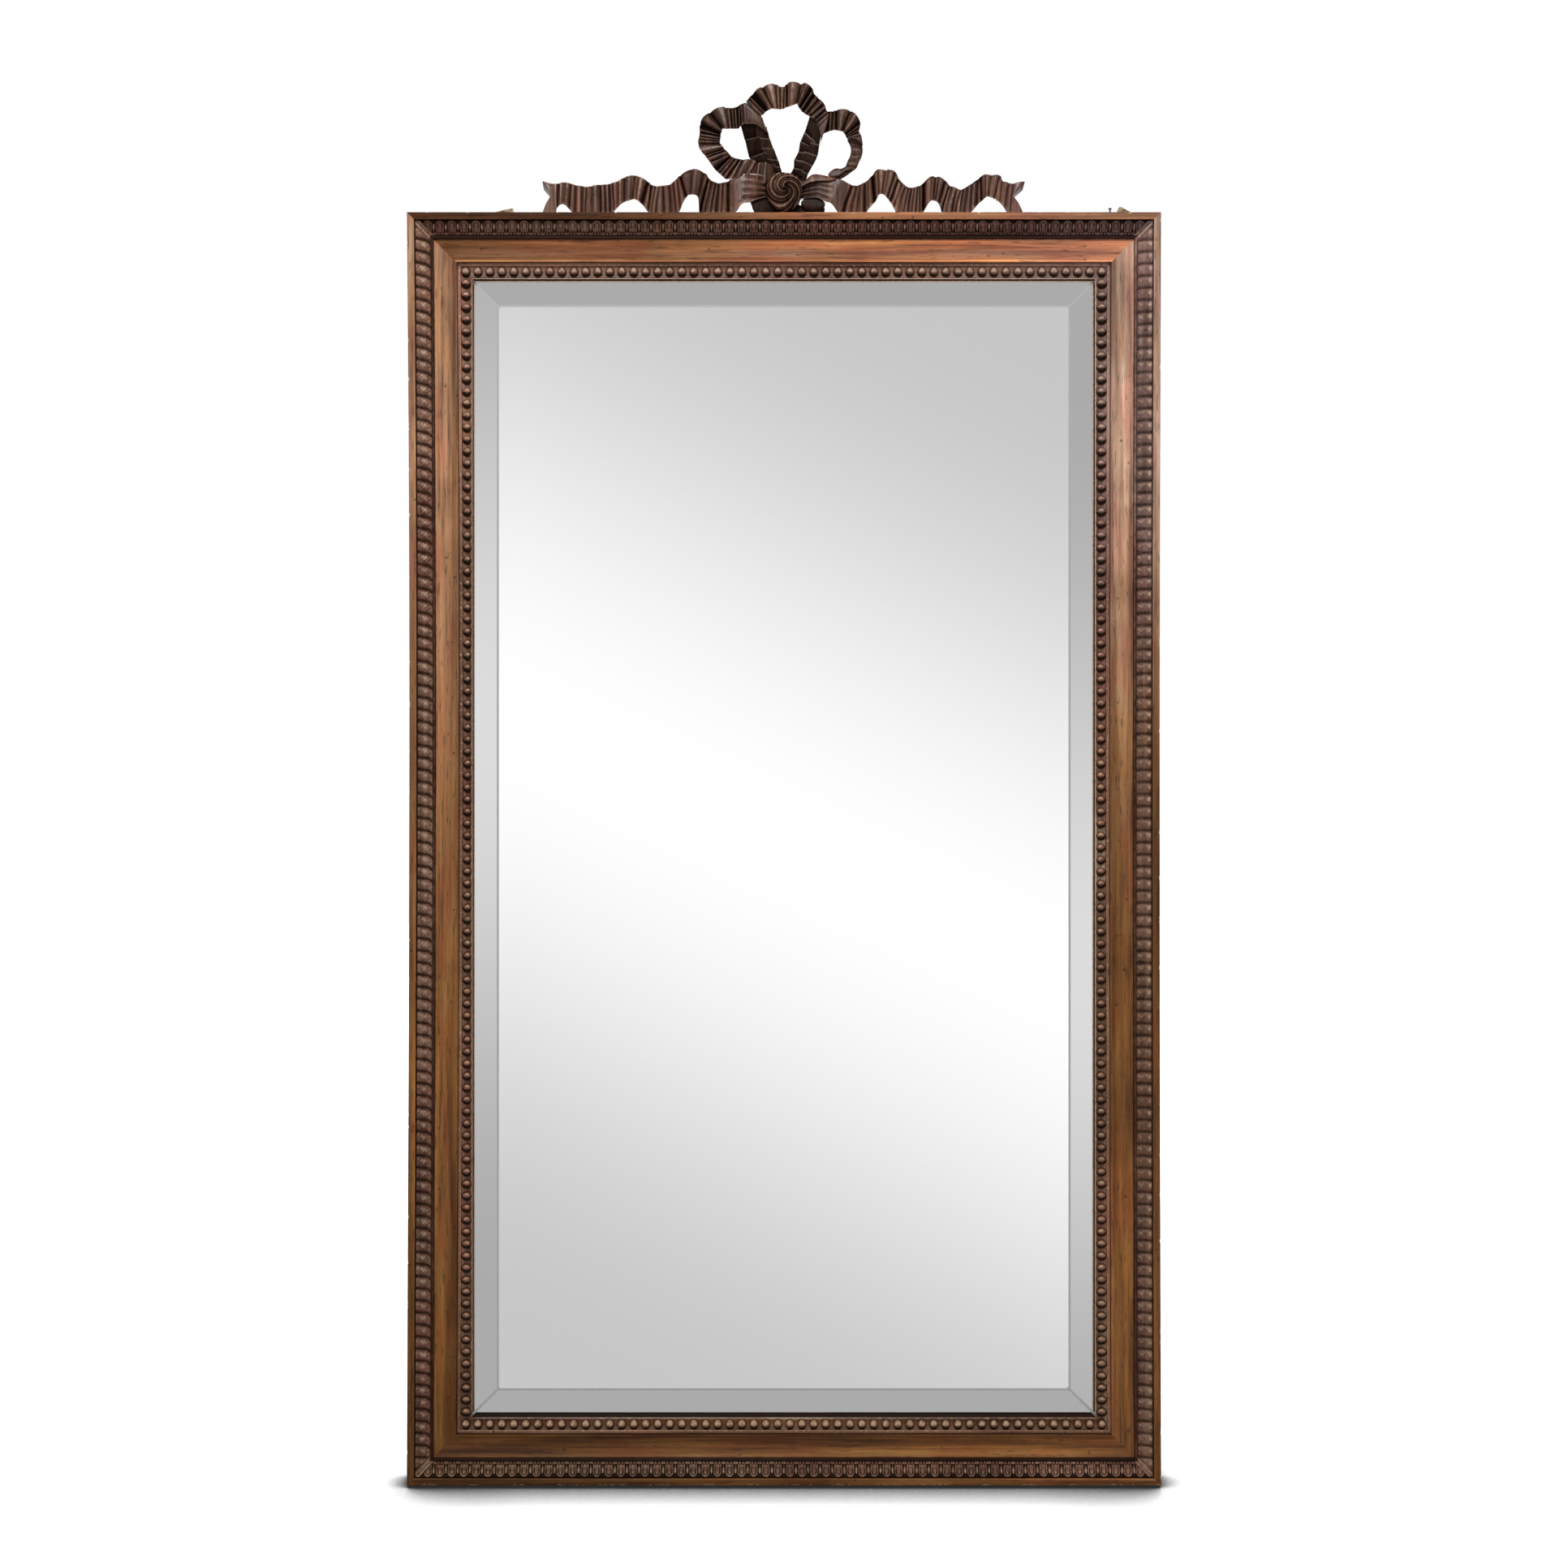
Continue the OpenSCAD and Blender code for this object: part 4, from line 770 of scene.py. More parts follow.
# ---- mirror plate ----
# One sheet of silvered glass, ground to a wide shallow bevel on its four sides. The arris of the
# bevel and its four mitres show as fine grey lines. Brown paint covers the silver at the back.
def mirror_finish(name, tone, roughness, metallic=1.0):
    """Silvered glass seen from the front, as one smooth metal face. Ground glass is less so."""
    made = bpy.data.materials.new(name)
    made.use_nodes = True
    surface = made.node_tree.nodes["Principled BSDF"].inputs
    surface["Base Color"].default_value = (tone, tone * 1.003, tone * 1.002, 1)
    surface["Metallic"].default_value = metallic
    surface["Roughness"].default_value = roughness
    return made


GLASS_FRONT, GLASS_T, BEVEL_W, BEVEL_DROP = 23.39, 5.0, 40.0, 3.5
ARRIS_W, MITRE_W = 2.8, 2.2     # how wide the grey lines are that run round the bevel and across it
plate_low, plate_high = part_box("mirror_plate")


def plate_ring(inset, depth):
    """Eight points round the plate at one inset: two at each corner, a mitre's line apart."""
    x = (plate_high.x - plate_low.x) / 2 - inset * MM
    z0, z1 = plate_low.z + inset * MM, plate_high.z - inset * MM
    y, g = (depth - FRAME_D) * MM, MITRE_W * MM
    return [[-x + g, y, z0], [x - g, y, z0], [x, y, z0 + g], [x, y, z1 - g],
            [x - g, y, z1], [-x + g, y, z1], [-x, y, z1 - g], [-x, y, z0 + g]]


rings = [plate_ring(inset, GLASS_FRONT + depth) for inset, depth in (
    (0, GLASS_T), (0, BEVEL_DROP), (BEVEL_W - ARRIS_W, BEVEL_DROP * ARRIS_W / BEVEL_W), (BEVEL_W, 0))]
plate = piece("bevelled_plate", rings, tube_faces(4, 8), mirror_finish("silvered_glass", GLASS_LOSS, 0.0),
              sharp=1, replaces=("mirror_plate",))
plate.data.materials.append(mirror_finish("ground_bevel", 0.665, 0.0))
plate.data.materials.append(mirror_finish("ground_line", 0.31, 0.7, 0.0))
for face in plate.data.polygons:                # the field, the lines and the bevels
    middle = face.center
    inset = min(plate_high.x - abs(middle.x), middle.z - plate_low.z, plate_high.z - middle.z) / MM
    is_line = face.area < 5e-4 or (0.5 < abs(inset - BEVEL_W) + 0.6 < ARRIS_W)
    face.material_index = 0 if face.area > 0.5 else (2 if is_line else 1)


BACKING_PAINT = (112, 66, 52)
tree, place, surfaced = new_material("backing_paint")
cloud = noise(tree, place, 14.0, 4.0, 0.5)
dark, light = ((*(part * share for part in paint(*BACKING_PAINT)[:3]), 1) for share in (0.8, 1.2))
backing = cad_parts["silvering"].data.materials
backing.clear()
backing.append(surfaced(Base_Color=mixed(tree, faded(tree, cloud, 0.35, 0.65), dark, light),
                        Roughness=faded(tree, cloud, 0.3, 0.7, 0.62, 0.78),
                        Normal=bumped(tree, cloud, 0.2, 0.0004)))

# ---- carved ribbon crest ----
# A pierced walnut bow on the top edge: three loops, two stems and two long tails of gathered
# ribbon, all springing from a spiral knot. Each ribbon is carved across its width into pleats.
CREST_W, DRAWN_W = 597.0, 596.0     # the crest's width, and the width of the folds below
LIFT, LIFT_OVER = 4.8, 10           # how far the crest is lifted, and over how much of its height


def eased(rows, steps):
    """Rows of numbers on smooth curves through the given rows, steps of them for each one."""
    rows = np.array(rows, float)
    before, after = np.vstack([rows[:1], rows[:-2]]), np.vstack([rows[2:], rows[-1:]])
    a, b, c, d = before[:, None], rows[:-1, None], rows[1:, None], after[:, None]
    t = (np.arange(steps) / steps)[None, :, None]
    bend, twist = 2 * a - 5 * b + 4 * c - d, 3 * b - a - 3 * c + d
    line = 0.5 * (2 * b + (c - a) * t + bend * t ** 2 + twist * t ** 3)
    return np.vstack([line.reshape(-1, rows.shape[1]), rows[-1:]])


def on_crest(x, depth, z):
    """Points of the crest from its own millimetres: x from its middle and z above the frame. All
    but its feet are lifted a little, because the frame's front edge hides their lowest part."""
    z = np.maximum(1.003 * z + LIFT * smooth(z, 0, LIFT_OVER), 0.0)
    return np.stack([x * CREST_W / DRAWN_W * MM, (depth - FRAME_D) * MM, TOP_Z + z * MM], -1)


PLEAT_RISE, BACK_CUT = 5.8, 5.5     # the highest that a pleat rises, and how far the back is cut in
CRISP_FROM, CRISP_BY = 1.5, 2.5     # how deep a valley is that starts to be crisp, and how much more it takes
FOLD_STEPS = 14                     # rows of points from each fold to the next


def pleats(folds, seed, lapped, full, crisp):
    """How a ribbon is pleated, at places that count its folds. Between two valleys the face rises
    in an arch, with its peak a little to one side, and the edges swell, both the more the wider
    the pleat. Where a valley is less deep than CRISP_FROM, the face stays smooth. Fine creases
    run along each pleat. A lapped ribbon has steps instead: each fold stands proud and the face
    sinks from it to the next. Each pleat has its own shade."""
    numbers = np.arange(len(folds))
    peak, height, shade = np.random.default_rng(seed).uniform(-1, 1, (3, len(folds)))
    at = np.arange((len(folds) - 1) * FOLD_STEPS + 1) / FOLD_STEPS
    span = np.minimum(at.astype(int), len(folds) - 2)
    share = at - span
    ends = np.hypot(*np.diff(folds[:, :4].reshape(-1, 2, 2), axis=0).transpose(2, 0, 1))
    wide = ends.mean(-1)[span]
    arch = np.sin(np.pi * np.clip(share ** (np.log(0.5) / np.log((0.5 + 0.15 * peak)[span])), 0, 1))
    valley = np.interp(at, numbers, folds[:, 4])
    lively = np.clip((valley - CRISP_FROM) / CRISP_BY, 0, 1)
    rise = lively * (0.85 + 0.15 * height)[span] * np.minimum(0.66 * wide, PLEAT_RISE) * arch ** 0.8
    swell = full * lively * np.clip(0.35 * (wide - 6.5), 0, 4.5) * arch ** 0.8
    sink = np.maximum(np.abs(valley) - rise, 0)
    # ridge lightens each pleat's crest, and each step of a lapped ribbon: wear and a painted highlight
    ridge = np.exp(-((arch - 1) * wide / (0.45 / crisp ** 0.5)) ** 2) * lively / (1 + wide / 14)
    crease = 1 - np.abs(np.sin(np.pi * share * np.round(wide / 3.2))) ** 0.7
    crease = crease * (0.15 + 0.85 * lively) * 0.45
    if lapped:
        swell, crease = 0 * swell, 0 * crease
        sink = np.abs(valley) * np.where(at >= len(folds) - 1, 0.1, 0.1 + 0.9 * share ** 0.9)
        ridge = 1.6 * np.exp(-(share * wide / 1.3) ** 2)
    differing = 0.06 + 0.18 * np.clip((folds[:, 4] - CRISP_FROM) / CRISP_BY, 0, 1)
    return at, swell, sink, ridge, crease, np.interp(at, numbers, 1 + differing * shade)


def ribbon_sheets(folds, at, v, swell, notch):
    """The face and the back of a ribbon as [x, z], on smooth curves through the ends of its folds.
    v runs from -1 at the inner edge to 1 at the outer one. The outer edge swells most. The back
    is cut in at both edges, as a carver leaves it, and each swallow-tail is notched to a V."""
    edges = eased(folds[:, :4], FOLD_STEPS)
    outer, inner = edges[:, :2], edges[:, 2:]
    across = (outer - inner) / np.hypot(*(outer - inner).T)[:, None]
    outer = outer + across * swell[:, None]
    inner = inner - across * 0.35 * swell[:, None]
    mid, half = (outer + inner)[:, None] / 2, (outer - inner)[:, None] / 2
    trimmed = np.minimum(BACK_CUT / np.hypot(*half[:, 0].T), 0.42)
    trim_out, trim_in = (trimmed * smooth(edge[:, 1], 0.5, 4) for edge in (outer, inner))
    face = mid + v[..., None] * half
    back = mid + (v * (1 - np.where(v > 0, trim_out[:, None], trim_in[:, None])))[..., None] * half
    first, last = np.clip(1 - at, 0, 1), np.clip(at - (len(folds) - 2), 0, 1)
    for sheet in (face, back):
        sheet[..., 0] += (notch[0] * first - notch[1] * last)[:, None] * (1 - np.abs(v))
    return face, back


def pleated(name, folds, front, thick, nodes=(), notch=(0, 0), streaks=None, seed=0, lapped=False,
            roll=1.4, lit=(0.10, 0.10), tilt=0.0, tone=1.0, full=1.0, dark=0.078, crisp=0.34, count=19):
    """A carved ribbon between its folds. Each fold is a valley across the ribbon, given as [x, z]
    of its outer end, [x, z] of its inner end and how deep it lies. front is the depth of its
    crests and thick how far behind them its flat back lies. notch is the depth of the
    swallow-tail at either end. streaks are the folds between which fine grooves run along the
    ribbon, and their depth. tilt is how far the outer edge leans back, roll how far both edges
    do, and full how much the pleats swell it. dark is how fast wax darkens a valley with its
    depth. crisp is how pale the pleats' crests are and lit how pale the two edges: wear and a
    painted highlight. tone is one number or [folds, tones]. The feet are a little lighter."""
    folds = np.array(folds, float)
    at, swell, sink, ridge, crease, shade = pleats(folds, seed, lapped, full, crisp)
    v, t = np.sin(np.linspace(-np.pi / 2, np.pi / 2, count))[None, :], at[:, None]
    flat, back = ribbon_sheets(folds, at, v, swell, notch)
    sink = sink[:, None] + crease[:, None] * (0.7 + 0.3 * np.sin(3 * v + t))
    lines = np.zeros(1)
    if streaks:
        fade = smooth(t, streaks[0], streaks[0] + 1.0) * (1 - smooth(t, streaks[1] - 1.0, streaks[1]))
        wave = 0.5 + 0.5 * np.cos(2 * np.pi * (2.1 * v + 0.1 + 0.12 * t))
        lines = fade * wave * smooth(-np.abs(v), -1.0, -0.8)
        sink = sink + streaks[2] * lines
    # the two edges lightened: wear and a painted highlight
    proud = lit[0] * smooth(v, 0.86, 1.0) + lit[1] * smooth(-v, 0.86, 1.0)
    felt = 0.62 - dark * sink + crisp * ridge[:, None] + proud
    felt = felt + np.sign(lines) * 0.16 * (1 - 2 * lines ** 0.7)
    sink = sink * (1 - (0.0 if lapped else 0.65) * smooth(np.abs(v), 0.78, 1.0))
    depth = front + sink + roll * np.abs(v) ** 6 + tilt * (v + 1) / 2
    face = on_crest(flat[..., 0], depth, flat[..., 1])
    rear = on_crest(back[..., 0], np.full(back.shape[:2], front + thick), back[..., 1])[:, ::-1]
    relief = np.concatenate([np.clip(felt, 0, 1), np.full(depth.shape, 0.40)], 1)
    faces = tube_faces(len(at), 2 * count)[:-2]
    for start in (0, (len(at) - 1) * 2 * count):        # the two ends, closed from face to back
        faces += [[start + j, start + j + 1, start + 2 * count - 2 - j, start + 2 * count - 1 - j]
                  for j in range(count - 1)]
    tone = np.interp(at, *tone) if isinstance(tone, list) else tone
    above = np.concatenate([flat, back[:, ::-1]], 1)[..., 1]
    shades = (tone * shade)[:, None] * (1 + 0.35 * (1 - smooth(above, 0, 16)))
    piece(name, np.concatenate([face, rear], 1), faces, crest_walnut, relief=relief, tone=shades,
          sharp=50, replaces=nodes)


CREST_SHADES = ((52, 32, 26), (76, 51, 40), (102, 72, 57), (130, 96, 76), (196, 170, 152))
CREST_WAX = (14, 8, 6)
crest_walnut = walnut("crest_walnut", 2, CREST_SHADES, CREST_WAX, gloss=(0.30, 0.48), shine=0.35,
                      fine=1.3, patchy=3.2)

# The folds of each part of the bow, in mm from the crest's middle and from the frame's top edge.
CENTRE_LOOP = [
    [-46.5, 133.5, -28.5, 115, 3], [-43.5, 137, -24.5, 118, 4], [-39, 142, -21, 122, 9],
    [-26, 150.5, -14, 125, 5], [-10.5, 154, -8, 124, 4], [-5, 151.5, -4.5, 123.5, 4],
    [0.5, 151.5, -0.5, 124, 4], [4, 154.5, 4, 126.5, 6], [20.5, 154.5, 15.5, 130.5, 5],
    [26, 156, 16.5, 129, 3], [34.5, 150.5, 19, 125.5, 9], [37.5, 143, 22.5, 121, 8],
    [43, 137, 27, 117.5, 5], [49.5, 130.5, 31.5, 115, 5], [52, 123.5, 38, 111, 6],
    [54.5, 119, 40.5, 107.5, 4], [54, 109.5, 43.5, 98, 1], [50.5, 97.5, 45, 90.5, 1],
    [47, 86.5, 45.5, 83.5, 1]]
RIGHT_LOOP = [
    [48, 121.5, 44.5, 93, 12], [55, 122, 54.5, 97, 8], [60.5, 122, 58.5, 98, 5],
    [65, 123, 64.5, 99, 6], [82, 122, 72, 97.5, 6], [86, 120.5, 73.5, 96, 3], [94, 110, 75.5, 93.5, 7],
    [94, 102.5, 76.5, 91.5, 6], [93, 97, 77, 90, 5], [96, 90.5, 79, 88.5, 2],
    [97.5, 79.5, 87.5, 89, 0]]
RIGHT_TURN = [
    [95, 90, 78.5, 88.5, 1], [97.5, 79.5, 83, 79.5, 2], [97, 70, 82.5, 70, 2], [93.5, 62, 79, 62.5, 2],
    [90, 54, 77, 57, 2], [83, 48.5, 73.5, 52.5, 2], [73.5, 42, 65.5, 48.5, 2],
    [67.5, 38.5, 62, 41.5, 2]]
RIGHT_LEAF = [
    [55, 46, 55.5, 44.5, 1], [58, 50, 58.5, 42, 1], [64, 53.5, 63.5, 41, 1], [72, 53.5, 68.5, 43.5, 1],
    [77.5, 56.5, 75.5, 48.5, 1], [84.5, 56, 83, 52, 1]]
LEFT_LOOP = [
    [-53, 131, -53, 104.5, 7], [-57.5, 128, -56, 101, 6], [-62, 126.5, -60, 100.5, 5],
    [-66, 126, -63.5, 100.5, 5], [-72, 126, -68.5, 100.5, 4], [-90.5, 120.5, -75.5, 101, 6],
    [-103, 106.5, -78, 95, 9], [-104, 97, -78, 92, 7], [-104.5, 91.5, -78.5, 87.5, 5],
    [-105.5, 87.5, -79, 85, 4], [-105.5, 82, -78.5, 82, 5], [-98, 68.5, -74, 76, 5],
    [-96, 65.5, -71.5, 74, 6], [-91.5, 59.5, -67.5, 69.5, 5], [-84.5, 50, -65.5, 67, 9],
    [-80, 45.5, -63, 65.5, 5], [-76, 42, -59.5, 64, 5], [-71.5, 38.5, -54, 63, 6],
    [-60.5, 40.5, -50.5, 62, 3], [-50, 43, -39, 62.5, 3], [-42.5, 43, -34, 59, 4]]
LEFT_FOLD = [
    [-54.5, 130, -52.5, 104, 6], [-51.5, 131, -49.5, 106.5, 3], [-46.5, 132, -45.5, 106.5, 1],
    [-39, 125, -37, 106.5, 0], [-32.5, 119, -29.5, 103, 0], [-27, 114.5, -24.5, 99, 1],
    [-24.5, 108, -20.5, 95.5, 1], [-19, 95.5, -19, 94, 2]]
LEFT_STEM = [
    [-55, 112, -33, 110, 7], [-48, 87.5, -29.5, 92, 7], [-42, 65.5, -22, 73, 7], [-34, 56, -11, 58, 6],
    [-24.5, 43.5, -7.5, 49, 6]]
LEFT_STRIP = [
    [-37, 108, -21, 104, 4], [-33, 91, -17, 89, 4], [-28, 78, -12.5, 77.5, 4],
    [-21, 65, -6.5, 62.5, 4], [-14, 56, -4, 54, 4], [-10, 46, -1.5, 45.5, 4]]
LEFT_SWIRL = [
    [-43, 60, -41, 36, 2], [-31, 59, -34.5, 35, 3.5], [-23, 60, -25, 34, 3.5], [-12, 54, -12, 34, 3.5]]
RIGHT_STEM = [
    [33.5, 121, 43, 109.5, 6], [25.5, 97.5, 39, 85, 7], [20.5, 86, 31.5, 80, 6],
    [18, 73, 29.5, 71.5, 6], [13, 63.5, 23.5, 61, 5], [12, 53, 24, 50.5, 6],
    [5.5, 43, 23.5, 43, 5]]
RIGHT_STRIP = [
    [36.5, 110, 46.5, 100, 4], [33, 85, 44, 81.5, 4], [25.5, 74, 41.5, 68, 4],
    [21.5, 63, 35.5, 56, 4], [19, 51, 30, 46, 4], [16, 37, 27.5, 37, 4]]
LEFT_TAIL = [
    [-298.5, 36, -299.5, 0, 2], [-287, 33, -284, 0, 2], [-279, 33, -280, 5.5, 5],
    [-271.5, 34.5, -273, 8, 3], [-263.5, 33, -265.5, 4.5, 6], [-257, 31, -258.5, 0, 5],
    [-249.5, 30, -250.5, 0, 5], [-243.5, 29, -245.5, 0, 4], [-237, 30, -237, 0, 6],
    [-227, 31.5, -226, 0, 6], [-221.5, 32, -220.5, 0, 4], [-216, 32.5, -214.5, 0, 4],
    [-212, 34, -210, 2.5, 4], [-205, 36, -204.5, 6, 4], [-197, 40.5, -197, 10.5, 7],
    [-184.5, 43, -187.5, 13.5, 6], [-179, 41.5, -182.5, 13, 3], [-168.5, 36, -176.5, 9, 9],
    [-164, 32, -168, 2.5, 8], [-158.5, 30, -164, 0, 4], [-154, 30, -158, 0, 4],
    [-149, 30.5, -148, 0, 6], [-142, 31.5, -139.5, 0, 5], [-137.5, 34.5, -133, 0, 5],
    [-132, 39.5, -128, 4, 6], [-128, 43, -120.5, 16.5, 10], [-113.5, 50.5, -115.5, 19.5, 5],
    [-99, 46.5, -106.5, 17, 7], [-93.5, 41, -104, 0, 11], [-89.5, 37, -98, 0, 7],
    [-84, 34.5, -91, 0, 5], [-80.5, 33.5, -84, 0, 6], [-75, 34.5, -77, 0, 6], [-69, 36, -69, 0, 9],
    [-61, 41.5, -61.5, 0.5, 2], [-48, 45, -51.5, 8, 0], [-36, 45, -42, 10, -0.8],
    [-24, 43, -30.5, 14.5, -4], [-15.5, 39, -20, 17, -7.5]]
RIGHT_TAIL = [
    [18, 30, 18, 15, -6.5], [29, 36, 29, 15, -4.5], [45, 39, 40.5, 15.5, -2], [56, 39, 50.5, 11, -1],
    [71, 37.5, 58.5, 8.5, 0], [79, 33.5, 67.5, 1.5, 1], [85, 31, 73.5, 0, 8], [90.5, 30.5, 82.5, 0, 5],
    [94.5, 32, 90.5, 0, 4], [99.5, 34.5, 99.5, 0, 7], [104, 37.5, 105, 4.5, 5], [110, 44, 113, 11, 11],
    [116, 50.5, 117.5, 19, 4], [126, 49.5, 121.5, 20, 5], [130, 50.5, 124, 19, 4],
    [138, 47.5, 128, 15, 7], [142, 39.5, 131.5, 10.5, 9], [146.5, 34, 136, 5, 5],
    [150.5, 30.5, 141, 0, 5], [154, 28.5, 148, 0, 5], [158, 28, 153, 0, 5], [161.5, 28.5, 158, 0, 4],
    [166, 30, 163, 0, 5], [168.5, 30.5, 169, 0, 6], [173.5, 35, 173, 3, 11],
    [182.5, 42, 181.5, 11.5, 4], [187.5, 41, 185, 12, 5], [192, 41.5, 187.5, 11.5, 4],
    [199.5, 37, 191.5, 8.5, 7], [204.5, 31, 195.5, 2, 7], [208, 29.5, 200, 0, 5],
    [214.5, 27, 207.5, 0, 5], [218.5, 25.5, 212, 0, 6], [222.5, 27, 217.5, 0, 5],
    [227.5, 30, 223.5, 0, 5], [233, 33.5, 231, 2, 6], [240, 38.5, 238.5, 7, 8],
    [243.5, 42, 245, 12, 10], [249, 44.5, 249, 15.5, 4], [256.5, 43.5, 252.5, 17, 5],
    [267, 43, 260, 14.5, 6], [270.5, 36.5, 267, 9.5, 5], [278, 34, 273.5, 4, 5],
    [283.5, 33, 280, 0, 4], [298, 35.5, 297, 0, 2]]
CURL = [
    [20, 30, 20, 28, 1], [29, 39.5, 29, 32.5, 1], [35, 44, 34.5, 34, 1],
    [42.5, 44.5, 42.5, 35.5, 1], [55, 42, 55, 36, 1], [64.5, 39.5, 64.5, 38, 1]]
RIGHT_PAD = [
    [21.5, 12, 21.5, 8, 0], [25, 15.5, 25, 5.5, 0], [32, 18, 32, 3.8, 0], [41, 17.5, 41, 3.6, 0],
    [47.5, 14.5, 47.5, 4.8, 0], [51, 10.5, 51, 7.5, 0]]
LEFT_PAD = [
    [-42, 14, -38, 5, 0], [-36, 19, -33, 0, 0], [-28, 22, -27, 0, 0], [-20, 25, -20, 0, 0],
    [-13, 27, -13, 0, 0]]

pleated("ribbon_left_stem", LEFT_STEM, 13, 22, nodes=("crest_left_stem",), seed=301, lapped=True,
        lit=(0.0, 0.35), tone=0.13)
pleated("ribbon_left_strip", LEFT_STRIP, 14.5, 20.5, seed=302, lapped=True, lit=(0.1, 0.2), tone=0.24)
pleated("ribbon_left_swirl", LEFT_SWIRL, 11.5, 18, seed=316, lapped=True, lit=(0.3, 0.0), tone=0.34)
pleated("ribbon_right_stem", RIGHT_STEM, 13, 22, nodes=("crest_right_stem",), seed=303, lapped=True,
        lit=(0.0, 0.35), tone=0.30)
pleated("ribbon_right_strip", RIGHT_STRIP, 14.5, 20.5, seed=304, lapped=True, lit=(0.0, 0.2), tone=0.25)
pleated("ribbon_left_loop", LEFT_LOOP, 9, 21, nodes=("crest_left_loop",), seed=305, tone=0.66, dark=0.095)
pleated("ribbon_right_turn", RIGHT_TURN, 17, 13, seed=306, roll=2.5, lit=(0.25, 0.25), tone=0.42)
pleated("ribbon_right_leaf", RIGHT_LEAF, 13, 10, seed=307, roll=3, tilt=3, lit=(0.25, 0.0), tone=0.65)
pleated("ribbon_right_loop", RIGHT_LOOP, 9, 21, nodes=("crest_right_loop",), seed=308, tone=0.5, dark=0.095)
pleated("ribbon_centre_loop", CENTRE_LOOP, 6, 22, nodes=("crest_centre_loop",), seed=309, tone=0.58,
        dark=0.095)
pleated("ribbon_left_fold", LEFT_FOLD, 8, 12, seed=310, roll=2.2, lit=(0.1, 0.35), tone=0.58)
TAIL = dict(full=0.4, dark=0.062, crisp=0.15, count=33)
pleated("ribbon_left_tail", LEFT_TAIL, 10, 24, nodes=("crest_left_tail",), notch=(11, 0),
        streaks=(34.6, 39.5, 1.7), seed=311, lit=(0.22, 0.1),
        tone=[[0, 34, 36, 38], [0.95, 0.85, 0.85, 0.4]], **TAIL)
pleated("ribbon_right_tail", RIGHT_TAIL, 10, 24, nodes=("crest_right_tail",), notch=(0, 14),
        streaks=(-1.2, 3.8, 0.9), seed=312,
        tone=[[0, 3, 6, 9, 40], [0.4, 0.6, 0.7, 0.88, 1.0]], **TAIL)
pleated("ribbon_curl", CURL, 6, 12, nodes=("crest_curl",), seed=313, roll=2.0, tilt=4, lit=(0.0, 0.3),
        tone=0.9)
pleated("ribbon_right_pad", RIGHT_PAD, 15, 10, seed=314, roll=4, lit=(0.0, 0.15), tone=0.26)
pleated("ribbon_left_pad", LEFT_PAD, 17, 10, seed=315, roll=4, tone=0.10)


KNOT_AT, KNOT_R, KNOT_DOME, KNOT_FRONT, KNOT_JOINT = (0.8, 24.0), 22.6, 7.0, 6.0, 22.0
KNOT_HOLE = np.array([2.3, 1.7])
GROOVE_DEEP, HOLE_DEEP, RIM_DROP = 4.2, 5.0, 2.2
KNOT_RINGS, KNOT_SPOKES = 44, 160


def knot(name):
    """The knot: a dome carved with four broad arms that sweep out from a hole a little to the
    right of its middle, with a thin one in each groove between them. r runs from the hole to the
    rim. A point lies on a crest or in a groove by where four times its angle, plus three turns
    over r, comes round to."""
    r = np.linspace(0, 1, KNOT_RINGS)[1:, None]
    turn = np.linspace(0, 2 * np.pi, KNOT_SPOKES, endpoint=False)[None, :]
    lean = KNOT_HOLE[0] * np.cos(turn) + KNOT_HOLE[1] * np.sin(turn)
    rim = -lean + np.sqrt(lean ** 2 + KNOT_R ** 2 - KNOT_HOLE @ KNOT_HOLE)
    x, z = KNOT_HOLE[0] + r * rim * np.cos(turn), KNOT_HOLE[1] + r * rim * np.sin(turn)
    dome = KNOT_DOME * (1 - (x ** 2 + z ** 2) / KNOT_R ** 2)
    round_to = np.mod((4 * turn + 0.6 * np.sin(turn + 0.8)) / (2 * np.pi) + 3.0 * r ** 0.85, 1)
    broad, thin = np.exp(-((round_to - 0.36) / 0.19) ** 2), np.exp(-((round_to - 0.80) / 0.09) ** 2)
    arm = np.maximum(broad, 0.66 * thin)
    hole = 1 - smooth(np.hypot((x - KNOT_HOLE[0]) / 2.4, (z - KNOT_HOLE[1]) / 4.2), 0.6, 1.3)
    bite = GROOVE_DEEP * (1 - arm) * (1 - hole) + HOLE_DEEP * hole + RIM_DROP * smooth(r, 0.93, 1.0)
    rows = [np.stack([x, KNOT_FRONT - dome + bite, z], -1).reshape(-1, 3)]
    for level, trim in ((14.0, 1.0), (KNOT_JOINT, 0.88)):
        rows.append(np.stack([x[-1] * trim, np.full(KNOT_SPOKES, level), z[-1] * trim], -1))
    points = np.concatenate([[[KNOT_HOLE[0], KNOT_FRONT - KNOT_DOME + HOLE_DEEP, KNOT_HOLE[1]]], *rows])
    felt = 0.08 + 0.70 * arm ** 1.2 - 0.9 * hole
    felt = np.concatenate([[0.0], np.clip(felt, 0, 1).ravel(), np.full(2 * KNOT_SPOKES, 0.3)])
    tone = 0.62 + 0.52 * smooth(points[:, 2], -6, 20)
    points = on_crest(points[:, 0] + KNOT_AT[0], points[:, 1], points[:, 2] + KNOT_AT[1])
    piece(name, points, dome_faces(KNOT_RINGS + 1, KNOT_SPOKES), crest_walnut, relief=felt, tone=tone,
          sharp=60, replaces=("crest_knot",))


knot("ribbon_knot")


LOWER_END = 27                  # how much of a hanging plate, from below, stays where it is


